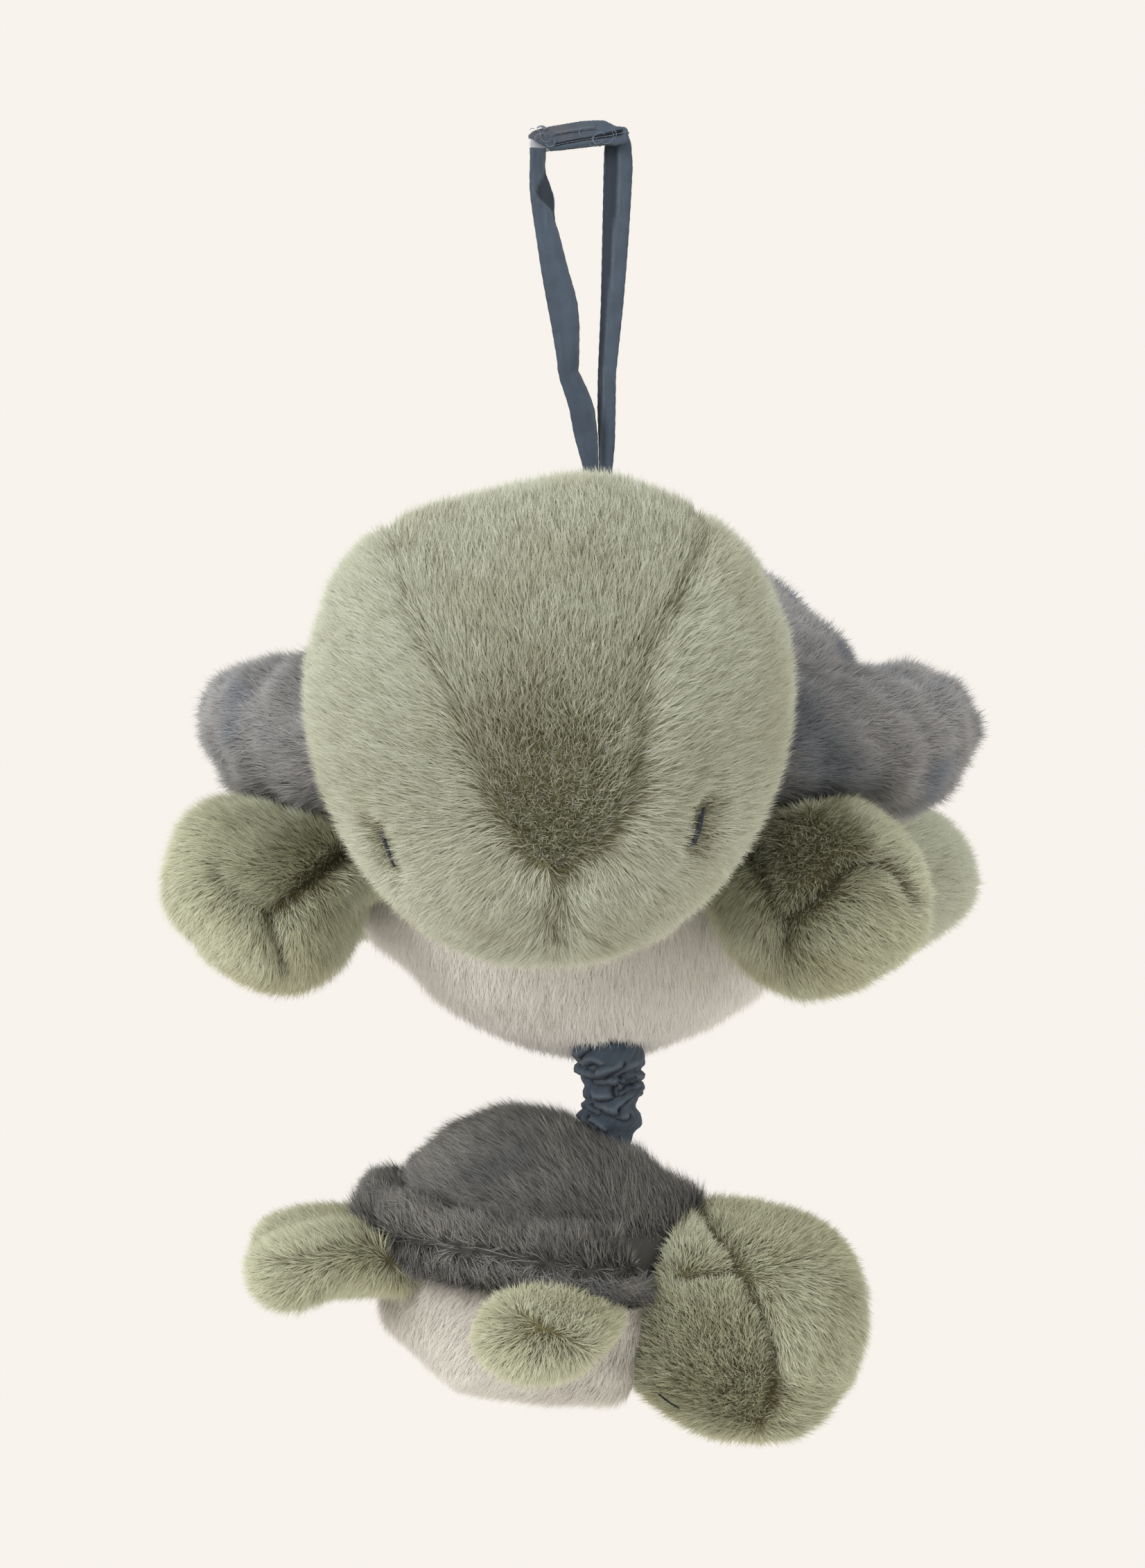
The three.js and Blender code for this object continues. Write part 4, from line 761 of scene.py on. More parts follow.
stitches = threads_along(
    "band_stitches", [band_row(BAND_SLOT, -0.0050, 0.0)], thread_finish.material, Spacing=0.0013,
    Length=0.0012, Radius=0.00007, Bow=0.25, Turn=(0.0, math.radians(90), math.radians(55)), Stray=0.35,
    Seed=3)
raw_edge = threads_along(
    "raw_edge_threads", [band_row(BAND_RIDGE, -0.0052, -0.0001)], thread_finish.material, Spacing=0.00032,
    Length=0.0009, Radius=0.00004, Bow=0.3, Turn=(0.0, math.radians(90), math.radians(20)), Stray=0.9,
    Seed=8)
# Middle, radius, first heading and sweep of each loose curl, in millimetres and radians, and its thickness.
CURLS = (
    (-11.0, 1.9, 1.7, 0.4, 4.5, 0.07), (-9.5, 2.7, 1.5, 2.0, 4.0, 0.06), (-8.4, 1.2, 1.3, 3.6, 3.6, 0.07),
    (-12.2, 3.3, 1.1, 5.0, 4.0, 0.06), (-10.2, 1.4, 2.2, 1.0, 2.2, 0.05), (1.1, 4.0, 1.5, 2.2, 1.8, 0.06),
    (5.3, 1.9, 1.9, 0.8, 4.0, 0.07), (4.5, 2.2, 1.4, 2.6, 3.4, 0.06), (6.8, 2.9, 2.1, 4.2, 2.8, 0.06),
    (8.2, 3.2, 1.5, 5.2, 2.4, 0.06), (3.2, 0.8, 0.8, 3.0, 2.6, 0.06), (-13.2, 4.0, 0.9, 1.0, 1.6, 0.1),
    (-10.9, 4.0, 1.5, 0.5, 1.8, 0.2), (-11.1, 4.1, 1.2, 0.3, 2.1, 0.17), (-10.8, 3.6, 2.0, 0.7, 1.3, 0.14),
)
CURL_STEPS, CURL_SIDES, CURL_DEEP = 16, 5, -5.2
curl_places, curl_faces = [], []
for across, high, radius, heading, sweep, thick in CURLS:
    curl_faces += tube_faces(CURL_STEPS + 1, CURL_SIDES, first=len(curl_places))
    for k in range(CURL_STEPS + 1):
        turn = heading + sweep * k / CURL_STEPS
        out = Vector((math.cos(turn), 0, math.sin(turn)))
        at = Vector((across, CURL_DEEP - 0.35 * math.sin(math.pi * k / CURL_STEPS), high)) + radius * out
        curl_places += [
            (at + thick * (x * out + Vector((0, y, 0)))) / 1000 for x, y in round_points(CURL_SIDES)]
curl_mesh = outward_mesh("loose_curls", curl_places, curl_faces)
curls = new_object("loose_curls", curl_mesh, thread_finish.material)
for threads in (stitches, raw_edge, curls):
    fitted(threads, "closure", "slate_cloth")

tape_finish = Finish("black_nylon_tape", **{"Roughness": 0.55})
tape_finish.coloured(tape_finish.noise(700.0), (38, 44, 52), (62, 70, 80))
TAPE_ROWS, TAPE_ROW_GAP = 6, 0.0005
for node, name, ends, body, front, back, face, bow in (
        ("hook_tape", "hook_side", "hooks", "closure", -0.0030, -0.0024, -0.0024, -0.9),
        ("loop_tape", "loop_side", "loops", "mother", -0.0017, -0.0011, -0.0017, 0.5)):
    backing = cloth_band(name + "_backing", front, back, tape_finish.material, edge=0.0007, left=-0.006,
                         right=0.0126)
    fitted(backing, body, "closure_tape", node)
    rows = [[(x, face, 0.0017 + TAPE_ROW_GAP * k) for x in (-0.0055, 0.0122)] for k in range(TAPE_ROWS)]
    fitted(threads_along(name + "_" + ends, rows, tape_finish.material, Spacing=0.0008, Length=0.0006,
                         Radius=0.00005, Bow=bow, Turn=(math.radians(90), 0.0, 0.0), Stray=0.5, Seed=11),
           body, "closure_tape")

# Plush pile. Every cover is knitted fur fabric: a backing under a dense pile, 8 mm long, that leans one
# way, with its roots and the backing painted darker as painted shade. The pile is pressed in along the seams,
# and stops where two covers touch and inside the covers.

PILE_LONG, PILE_WIDE = 0.0080, 0.00030
PILE_DENSE = 6.2e6
PILE_ROLL = math.radians(48)
BARE_SHARE = 0.12
BARE_WITHIN, FULL_BEYOND = 0.0010, 0.0034
SHORTEST, LONGEST = 0.72, 1.12
CLUMP_SCALES = (130.0, 420.0)
COVER_SMOOTHINGS, COVER_FILL = 9, 0.7
STRAND = ((0, -0.5, -0.02), (0, 0.5, -0.02), (0.86, 0.0, 0.50))

strand_mesh = bpy.data.meshes.new("pile_strand")
strand_mesh.from_pydata(STRAND, [], [(0, 2, 1)])
kept_on(strand_mesh, "along", (0.0, 0.0, 1.0))
pile_strand = new_object("pile_strand", strand_mesh)

pile_tree, given = repeater("knitted_pile", {
    "Density": "Float", "Long": "Float", "Wide": "Float", "Ruffle": "Float", "Roll": "Float",
    "Seed": "Int", "Strand": "Object", "Material": "Material"})


def kept_value(name, kind="FLOAT"):
    """What the cover's points keep under a name."""
    node = pile_tree.node("GeometryNodeInputNamedAttribute", {"data_type": kind}, {"Name": name})
    return node.outputs["Attribute"]


def vector_math(operation, first, second):
    return pile_tree.node("ShaderNodeVectorMath", {"operation": operation}, {0: first, 1: second}).outputs[0]


pile, upright = (Shade(pile_tree, kept_value(name)) for name in ("pile", "upright"))
spread = pile_tree.node("GeometryNodeDistributePointsOnFaces", {"distribute_method": "RANDOM"}, {
    "Mesh": given["Geometry"], "Seed": given["Seed"],
    "Density": pile.math("GREATER_THAN", pile, BARE_SHARE) * given["Density"]}).outputs
clumps = [vector_math("SUBTRACT", pile_tree.node("ShaderNodeTexNoise", {}, {
    "Scale": scale, "Detail": 2.0, "Roughness": 0.6}).outputs["Color"], (0.5, 0.5, 0.5))
    for scale in CLUMP_SCALES]
ruffle = pile_tree.node("ShaderNodeVectorMath", {"operation": "SCALE"}, {
    0: vector_math("ADD", *clumps), "Scale": given["Ruffle"]}).outputs[0]
stands = pile_tree.node("FunctionNodeAxesToRotation", {"primary_axis": "Z", "secondary_axis": "X"}, {
    0: spread["Normal"], 1: vector_math("ADD", kept_value("nap", "FLOAT_VECTOR"), ruffle)})
most = (upright * 2.6 + 1.0) * given["Roll"]
roll, lift, sway = (chance(pile_tree, most * -1.0, most, seed) for seed in (1, 2, 3))
long = pile * chance(pile_tree, SHORTEST, LONGEST, 4) * given["Long"]
strands = pile_tree.node("GeometryNodeInstanceOnPoints", {}, {
    "Points": spread["Points"],
    "Rotation": turned(pile_tree, stands.outputs[0], combined(pile_tree, roll, lift * 0.32, sway * 0.30)),
    "Instance": pile_tree.node("GeometryNodeObjectInfo", {}, {"Object": given["Strand"]}).outputs["Geometry"],
    "Scale": combined(pile_tree, long * (1.0 - upright), given["Wide"], long * (upright * 0.7 + 1.0))})
told_apart = pile_tree.node("GeometryNodeStoreNamedAttribute", {"data_type": "FLOAT", "domain": "INSTANCE"}, {
    "Geometry": strands.outputs[0], "Name": "strand", "Value": chance(pile_tree, 0.0, 1.0, 9)})
with_backing = pile_tree.node("GeometryNodeJoinGeometry")
for geometry in (grown(pile_tree, told_apart.outputs[0], given["Material"]), given["Geometry"]):
    pile_tree.tree.links.new(geometry, with_backing.inputs[0])
pile_tree.node("NodeGroupOutput", {}, {0: with_backing.outputs[0]})


def plush_finish(name, slot, root, tip, pale, tint, tint_share):
    """Fur fabric in one colour and its slot: the roots painted dark as painted shade, pale at the tips, each
    strand a little different, with clumps and broad patches where the pile shows another tone. The cover's
    shade adds painted shade, and painted light where it is below 0."""
    root, tip, pale, tint = (linear(*colour) for colour in (root, tip, pale, tint))
    plush = Finish(name, **{"Roughness": 0.95, "Specular IOR Level": 0.2, "Sheen Weight": 0.35,
                            "Sheen Roughness": 0.6, "Sheen Tint": tip})
    along, strand, dark = (plush.attribute(kept) for kept in ("along", "strand", "shade"))
    clump = plush.noise(260.0)
    patch = plush.noise(34.0)
    lit = plush.mixed(strand, tip, pale)
    lit = plush.mixed(patch.over(0.45, 0.7) * tint_share, lit, tint)
    # height runs from the painted shade of the roots to the tips; the cover's shade (dark) lowers it as
    # painted shade, and raises it as painted light below 0.
    height = along ** 0.75 + (clump - 0.5) * 0.5 + (strand - 0.5) * (0.32 + dark * 1.3) - dark * 0.45
    # deep darkens the roots further where the cover's painted shade is high.
    deep = (*(0.3 * part for part in root[:3]), 1.0)
    plush.feed("Base Color", plush.mixed(height.over(-0.05, 1.0), plush.mixed(dark * 0.7, root, deep), lit))
    plush.feed("Roughness", 0.86 + strand * 0.12)
    return plush.material, slot


sage = plush_finish("sage_plush_pile", "sage_plush",
                    (124, 120, 84), (206, 209, 188), (224, 227, 210), (195, 193, 168), 0.5)
# The same sage fabric again, painted yellower, with darker roots and paler tips, for the front paddles, the
# baby's head and its paddles: painted bounce light and shade.
sage_painted_bounce = plush_finish("sage_paddle_pile", "sage_plush",
                         (106, 100, 66), (214, 216, 187), (230, 232, 208), (198, 195, 158), 0.5)
grey = plush_finish("grey_plush_pile", "grey_plush",
                    (92, 93, 96), (170, 169, 169), (192, 190, 189), (130, 141, 154), 0.7)
dark_grey = plush_finish("dark_grey_plush_pile", "grey_plush",
                         (82, 81, 79), (146, 144, 141), (176, 174, 170), (112, 116, 119), 0.7)
cream = plush_finish("cream_plush_pile", "cream_plush",
                     (226, 220, 209), (248, 246, 238), (252, 250, 245), (238, 233, 226), 0.5)


def skin_of(name, shift=Vector()):
    """A CAD node's faces, to be asked for the nearest point."""
    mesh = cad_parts[name].data
    return BVHTree.FromPolygons([v.co + shift for v in mesh.vertices], [p.vertices[:] for p in mesh.polygons])


COVER_PARTS = ("shell", "rim_roll", "belly", "head", "flipper", "eye", "sleeve", "strap", "hem")
covers = {name: skin_of(name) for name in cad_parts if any(part in name for part in COVER_PARTS)}
fillings = [skin_of(name) for name in ("mother_filling", "baby_filling")]


def points_of(mesh):
    """The places of a mesh's points, and their normals."""
    places, normals = (np.zeros(3 * len(mesh.vertices), np.float32) for _ in range(2))
    mesh.vertices.foreach_get("co", places)
    mesh.vertices.foreach_get("normal", normals)
    return places.reshape(-1, 3).astype(float), normals.reshape(-1, 3).astype(float)


def seen_from_front(places):
    """Where points stand in the photographer's view, across and up, measured at the strap's depth."""
    shrink = CAMERA_BACK / (CAMERA_BACK + places[:, 1])
    return np.column_stack([CAMERA_ACROSS + (places[:, 0] - CAMERA_ACROSS) * shrink,
                            CAMERA_HIGH + (places[:, 2] - CAMERA_HIGH) * shrink])


def from_lines(flat, lines):
    """The way to points in the front view from the nearest of some lines of points, given in millimetres."""
    way, best = np.zeros_like(flat), np.full(len(flat), 1.0)
    for line in lines:
        line = np.array(line) / 1000
        for a, b in zip(line[:-1], line[1:]):
            d = b - a
            t = np.clip(((flat - a) @ d) / max(d @ d, 1e-12), 0, 1)
            step = flat - a - t[:, None] * d
            far = np.linalg.norm(step, axis=1)
            nearer = far < best
            way[nearer], best[nearer] = step[nearer], far[nearer]
    return way, best


# The mother's eyes stand 3 mm from the solids' places in the photograph. Each slides over her head's skin by
# a way across and up in the front view, in millimetres, and its hollow in the pile goes with it.
EYE_SLIDES = {"mother_eye_left": (2.1, 2.8), "mother_eye_right": (2.7, -1.8)}
eye_slid = {}
for eye, (across, up) in EYE_SLIDES.items():
    middle = Vector(points_of(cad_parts[eye].data)[0].mean(0))
    ends = [covers["mother_head"].find_nearest(middle + Vector(way) / 1000)[0] for way in (
        (0, 0, 0), (across, 0, up))]
    eye_slid[eye] = ends[1] - ends[0]
    covers[eye] = skin_of(eye, eye_slid[eye])


def put(mesh, places):
    """Moves a mesh's points to new places."""
    mesh.vertices.foreach_set("co", places.astype(np.float32).ravel())
    mesh.update()


def pile_share_beside(places, normals, others):
    """How much of the pile stands at each point: none inside a cover or against another, all well clear."""
    gap = np.full(len(places), FULL_BEYOND)
    for k, place in enumerate(Vector(place) for place in places):
        for tree in others:
            found = tree.find_nearest(place, gap[k])
            if found[0] is not None:
                gap[k] = min(gap[k], found[3])
        for tree in fillings:
            found = tree.find_nearest(place, FULL_BEYOND)
            if found[0] is not None and (found[0] - place).dot(Vector(normals[k])) > 0.5 * found[3]:
                gap[k] = 0
    return soft_step(BARE_WITHIN, FULL_BEYOND, gap), gap > BARE_WITHIN


# How far from a seam the backing is pressed in, the pile thinned and painted darker as painted shade, and how
# strongly.
SEAM_PRESSED, SEAM_THINNED, SEAM_DARKENED, SEAM_THINS, SEAM_PAINTED_SHADE = 0.0026, 0.0020, 0.0013, 0.7, 1.2
# The same for what lies in a hollow, which is painted darker as painted shade, with the pile's share that is
# left there and its way to full pile.
HOLLOW_PRESSED, HOLLOW_DARKENED, HOLLOW_DEEP, HOLLOW_PAINTED_SHADE = 0.0036, 0.0038, 2.2, 1.2
HOLLOW_LEFT, HOLLOW_BARE, HOLLOW_FULL, HOLLOW_TIPS = 0.16, 0.0016, 0.0075, 0.0030
# How much shorter and more upright short pile is, what the pile and its painted shade do beside other covers,
# and the palest painted light.
SHORT_LOSES, SHORT_RISES, NEAR_LEFT, NEAR_PAINTED_SHADE, PALEST_PAINTED_LIGHT = 0.4, 0.5, 0.35, 0.25, -0.6
# The way and the size, in millimetres, of each wave that makes a cover lumpy.
LUMPS = (((0.8, 0.5, 0.3), 4.1), ((-0.3, 0.7, 0.6), 3.3), ((0.5, -0.6, 0.6), 2.7), ((0.2, 0.3, -0.9), 3.7))


def plush_cover(node, plush, voxel, nap, seams=(), dark=0.0, long=1.0, short=None, moved=(), hollows=(),
                hollow=1.0, over=(), ruffle=1.4, lumps=0.0, seed=1):
    """One stuffed cover with its pile. nap gives the way that the pile leans at each point. Lines are in
    millimetres in the front view: seams with a depth and a parting, and moved places with a radius and a
    shift. hollows name what lies in a hollow of the pile, hollow is its size, and over names what the pile
    hangs over. dark and short give a number for each point of the front view: dark is painted shade on faces
    towards the viewer, and painted light where it is below 0. Seams, hollows and nearby covers add painted
    shade too."""
    finish, slot = plush
    name = node + "_plush"
    cover = softened(node, name, voxel, COVER_SMOOTHINGS, finish)
    places, normals = points_of(cover.data)
    flat = seen_from_front(places)
    for across, high, radius, *shift in moved:
        near = np.exp(-((flat - np.array((across, high)) / 1000) ** 2).sum(1) / (radius / 1000) ** 2) / 1000
        places += near[:, None] * np.array(shift)
    waves = [np.sin(places @ np.array(way) * 1000 / size + seed + k) for k, (way, size) in enumerate(LUMPS)]
    places += normals * (lumps / 1000 * (waves[0] * waves[1] + waves[2] * waves[3]))[:, None]
    front = soft_step(0.15, -0.2, normals[:, 1])
    # dark is painted shade, or painted light below 0, only on faces towards the viewer.
    shade = (dark(flat) if callable(dark) else dark) * front
    shorter = np.clip(short(flat), 0, 1) * front if short else 0 * front
    share, stands_up, pressed = 1 - SHORT_LOSES * shorter, SHORT_RISES * shorter, 0 * front
    lean = nap(places, normals)
    lean -= (lean * normals).sum(1)[:, None] * normals
    lean /= np.maximum(np.linalg.norm(lean, axis=1), 1e-9)[:, None]
    for line, depth, parting in seams:
        away = from_lines(flat, [line])[1]
        pressed = np.maximum(pressed, depth * hump(away, SEAM_PRESSED) * front)
        share *= 1 - SEAM_THINS * parting * hump(away, SEAM_THINNED) * front
        # Painted shade along the seam's groove.
        shade += SEAM_PAINTED_SHADE * parting * hump(away, SEAM_DARKENED) * front
    for sunk in hollows:
        skin = covers[sunk]
        at_root, at_tip = (
            np.array([skin.find_nearest(Vector(place))[3] for place in places + lean * ahead]) / hollow
            for ahead in (0, HOLLOW_TIPS * hollow))
        pressed = np.maximum(pressed, HOLLOW_DEEP * hollow * hump(at_root, HOLLOW_PRESSED))
        full = soft_step(HOLLOW_BARE, HOLLOW_FULL, np.minimum(at_root, at_tip))
        share *= HOLLOW_LEFT + (1 - HOLLOW_LEFT) * full
        # Painted shade in the hollow.
        shade += HOLLOW_PAINTED_SHADE * hump(at_root, HOLLOW_DARKENED)
    clear, open_air = pile_share_beside(places, normals, [
        tree for other, tree in covers.items() if other != node and other not in hollows + over])
    share *= clear * (1 - NEAR_LEFT) + NEAR_LEFT * open_air
    # Painted shade where another cover is near.
    shade += NEAR_PAINTED_SHADE * (1 - clear)
    for kept, values in (("pile", share * long), ("shade", np.clip(shade, PALEST_PAINTED_LIGHT, 1)), ("upright", stands_up)):
        kept_on(cover.data, kept, values)
    layer = cover.data.attributes.new("nap", "FLOAT_VECTOR", "POINT")
    layer.data.foreach_set("vector", lean.astype(np.float32).ravel())
    put(cover.data, places - normals * pressed[:, None] / 1000)
    mesh = repeated(cover, name, pile_tree.tree, Density=PILE_DENSE, Long=PILE_LONG, Wide=PILE_WIDE,
                    Ruffle=ruffle, Roll=PILE_ROLL, Seed=seed, Strand=pile_strand, Material=finish)
    for kept in ("pile", "nap", "upright"):
        mesh.attributes.remove(mesh.attributes[kept])
    pile_map(mesh)
    body = node if "flipper" in node else node.split("_")[0]
    fitted(new_object(name, mesh), body, slot, node)


STRANDS_TO_A_CELL = 24


def pile_map(mesh):
    """A map named OFBake with a small square for each face of the backing, and one for every few strands, from
    root to tip, that textures can be baked onto."""
    sizes = np.zeros(len(mesh.polygons), np.int32)
    mesh.polygons.foreach_get("loop_total", sizes)
    along = np.zeros(len(mesh.vertices), np.float32)
    mesh.attributes["along"].data.foreach_get("value", along)
    corners = corner_points(mesh)
    starts = np.concatenate([[0], np.cumsum(sizes)[:-1]])
    hairs = np.maximum.reduceat(along[corners], starts) > 0.5
    strand_cells = int(hairs.sum()) // STRANDS_TO_A_CELL + 1
    cell = np.where(hairs, (np.cumsum(hairs) - 1) // STRANDS_TO_A_CELL, strand_cells + np.cumsum(~hairs) - 1)
    across = math.ceil(math.sqrt(cell.max() + 1))
    which = np.repeat(np.arange(len(sizes)), sizes)
    step = np.arange(len(corners)) - starts[which]
    local = np.array([(0, 0), (1, 0), (1, 1), (0, 1)], float)[step % 4]
    strands = hairs[which]
    tips = along[corners] > 0.5
    local[strands] = np.column_stack([np.where(tips, 0.5, step > 0), tips])[strands]
    corner_cell = cell[which]
    uv = (np.column_stack([corner_cell % across, corner_cell // across]) + 0.06 + 0.88 * local) / across
    layer = mesh.uv_layers.new(name="OFBake")
    layer.data.foreach_set("uv", uv.astype(np.float32).ravel())

# Mother's shell. A grey plush dome over the filling, and a thick stuffed roll of the same plush sewn round
# its edge. The pile runs up and outwards over the dome, and outwards and down round the roll, in clumps.

SHELL_MIDDLE = np.array((0.002, 0.040, -0.160))


def up_the_dome(places, normals):
    """Outwards to either side, up and back."""
    outwards = np.sign(places[:, 0] - SHELL_MIDDLE[0]) * 0.6
    return np.column_stack([outwards, 0 * outwards + 0.9, 0 * outwards + 0.5])


def level_from(middle, places):
    """The level way from a middle out to each point."""
    out = places - middle
    out[:, 2] = 0
    return out / np.linalg.norm(out, axis=1)[:, None]


def round_roll(places, normals):
    """Outwards from the shell's middle, up on the roll's upper side and down on its lower side."""
    out = level_from(SHELL_MIDDLE, places)
    out[:, 1] += 0.7
    out[:, 2] = normals[:, 2] * 0.4 + 0.1
    return out


# The dome is painted a little paler, as painted light.
plush_cover("mother_shell", grey, 0.0028, up_the_dome, ruffle=2.1, lumps=0.9, dark=-0.12, seed=1,
            moved=((66, -130, 16, 1.5, 0, 1.5), (76, -140, 12, 4.5, 0, 1.5), (56, -117, 9, -1.0, 0, -1.5)))
plush_cover("mother_rim_roll", grey, 0.0028, round_roll, ruffle=2.3, lumps=1.3, seed=2,
            moved=((-103, -150, 14, -3.3, 0, 1.5), (-100, -173, 10, 2.5, 0, 2.5),
                   (107, -175, 12, -3.0, 0, 1.5), (108, -150, 9, 0.5, 0, 0), (86, -141, 12, 0, 0, -3.5)))

# Mother's belly. Off-white plush in two panels, stuffed full. The pile runs from the chin down and back.


def towards(direction):
    """Pile that leans one way all over."""
    return lambda places, normals: np.tile(np.array(direction, float), (len(places), 1))


plush_cover("mother_belly", cream, 0.0028, towards((0.0, 0.35, -0.9)), over=("gathered_sleeve", "sleeve_hem"),
            moved=((-29, -241, 15, 0.7, 0, 2.4), (-47, -227, 12, 1.6, 0, 2.6), (-12, -249, 9, 0, 0, 1.2),
                   (30, -242, 14, 0, 0, 1.0)), seed=3)

# Mother's head. Sage plush cut as two cheeks and a centre gusset that narrows to the nose, with one seam
# under the chin. The pile runs up the gusset and away from the seams. It is short on the gusset's end.

HEAD_SEAM_LEFT = [(-54, -92), (-52.8, -103.7), (-49.2, -119.9), (-41.4, -136.0), (-32.7, -153.9),
                  (-27.0, -168.3), (-22.4, -181.6), (-15.8, -192.1), (-7.0, -199.1)]
HEAD_SEAM_RIGHT = [(30.8, -92), (33.0, -109.6), (26.0, -124.6), (16.7, -140.4), (15.2, -156.9),
                   (14.6, -175.5), (6.1, -190.2), (-7.0, -199.1)]
CHIN_SEAM = [(-7.0, -199.1), (-6.7, -207.0), (-7.0, -215.0)]
GUSSET = HEAD_SEAM_LEFT + HEAD_SEAM_RIGHT[::-1]


def inside(flat, line):
    """1 for points of the front view inside a closed line, given in millimetres, and 0 outside."""
    line = np.array(line) / 1000
    within = np.zeros(len(flat), bool)
    for a, b in zip(line, np.roll(line, -1, axis=0)):
        crosses = (a[1] > flat[:, 1]) != (b[1] > flat[:, 1])
        with np.errstate(divide="ignore", invalid="ignore"):
            at = a[0] + (flat[:, 1] - a[1]) / (b[1] - a[1]) * (b[0] - a[0])
        within ^= crosses & (flat[:, 0] < at)
    return within.astype(float)

def spot(flat, across, high, wide, tall, power=1.0):
    """1 at a place of the front view, and falling to nothing round it. Measures are in millimetres."""
    steps = (flat - np.array((across, high)) / 1000) / (np.array((wide, tall)) / 1000)
    return np.exp(-(steps ** 2).sum(1) ** power)


def head_painted_shade(flat):
    """Painted shade over the gusset, where the pile faces the viewer and its roots show in shade, most of all
    at its end above the nose.
    """
    high = soft_step(-0.150, -0.105, flat[:, 1])
    return inside(flat, GUSSET) * (0.09 + 0.25 * spot(flat, -6, -185, 16, 14, 1.5) + 0.18 * high)


def head_short(flat):
    """The pile is short on the gusset's end."""
    return inside(flat, GUSSET) * spot(flat, -6, -176, 22, 30)


def over_the_head(places, normals):
    """Up the gusset and up over the cheeks, and down and outwards from the seam under the chin."""
    flat = seen_from_front(places)
    way, far = from_lines(flat, [HEAD_SEAM_LEFT, HEAD_SEAM_RIGHT, CHIN_SEAM])
    way /= np.maximum(far, 1e-6)[:, None]
    high = soft_step(-0.203, -0.172, flat[:, 1])
    out = np.column_stack([way[:, 0] * 0.8, 0 * far + 0.55, way[:, 1] * 0.6 - 0.25 + high * 1.0])
    within = inside(flat, GUSSET)[:, None]
    return out * (1 - within) + np.array((0.05, 0.5, 1.0)) * within


plush_cover("mother_head", sage, 0.0026, over_the_head,
            seams=((HEAD_SEAM_LEFT, 0.6, 0.15), (HEAD_SEAM_RIGHT, 0.8, 0.35), (CHIN_SEAM, 1.8, 0.35)),
            dark=head_painted_shade, short=head_short, hollows=("mother_eye_left", "mother_eye_right"),
            moved=((-27, -92, 30, 1.0, 0, -6.2), (22, -91, 13, 0, 0, -2.0), (-75, -128, 12, 1.5, 0, 0)),
            seed=4)

# Mother's flippers. Four stuffed sage paddles sewn in under the roll. The front pair face the viewer with
# their tips, where panels meet in a Y of seams, and the pile of each panel leans its own way from them.

# Her left flipper's seams and the places of its panels stand on the right of the front view.
RIGHT_MAIN = [(69.3, -199.7), (68.2, -201.8), (60.6, -207.6), (56.2, -210.5), (55.3, -217.0)]
RIGHT_SIDE = [(47.7, -188.0), (50.1, -198.1), (53.0, -206.5), (56.2, -210.5)]
RIGHT_ARC = [(69.3, -199.7), (74.7, -196.0), (81.7, -195.3), (86.2, -199.7), (90.6, -207.1)]
RIGHT_INNER = [(40, -190), (50, -199), (56.2, -210.5), (55.3, -217), (54, -245), (30, -245)]
RIGHT_OUTER = [(69.3, -199.7), (77.3, -192.2), (81.7, -195.3), (86.2, -199.7), (90.6, -207.1), (120, -207),
               (120, -165), (60, -165), (68.8, -179.6), (77.3, -192.2)]
RIGHT_PATCH = [(45.0, -184.0), (50.0, -199.0), (56.2, -210.5), (69.3, -199.7), (77.3, -192.2), (68.8, -179.6),
               (55.5, -176.7)]
LEFT_MAIN = [(-60.4, -190.0), (-75.6, -202.1), (-85.1, -209.2), (-83.2, -215.8), (-81.1, -224.0)]
LEFT_BRANCH = [(-97.1, -199.1), (-85.1, -209.2)]
LEFT_UPPER = [(-45, -185)] + LEFT_MAIN[:3] + [(-97.1, -199.1), (-130, -196), (-130, -160), (-45, -160)]
LEFT_INNER = [(-45, -185)] + LEFT_MAIN + [(-80, -250), (-35, -250)]


def flowing(rest, *regions):
    """Pile that leans one way within each region of the front view, and another way outside them all."""
    def nap(places, normals):
        flat = seen_from_front(places)
        out = towards(rest)(places, normals)
        for region, way in regions:
            within = inside(flat, region)[:, None]
            out = out * (1 - within) + np.array(way) * within
        return out
    return nap


def away_from(point, bias):
    """Pile that leans away from a point of the body, and some way more."""
    def nap(places, normals):
        out = places - np.array(point)
        return out / np.linalg.norm(out, axis=1)[:, None] + np.array(bias)
    return nap


def right_painted_shade(flat):
    """Painted shade over the left flipper's inner panel, most of all in its middle, where its roots show in
    shade.
    """
    middle = spot(flat, 60, -194, 18, 15)
    return (0.06 + 0.26 * middle) * inside(flat, RIGHT_PATCH) + 0.08 * middle


def left_painted_light(flat):
    """Painted light over the right flipper, fading to none in the middle of its tip."""
    return 0.20 * spot(flat, -71, -190, 17, 14) - 0.20


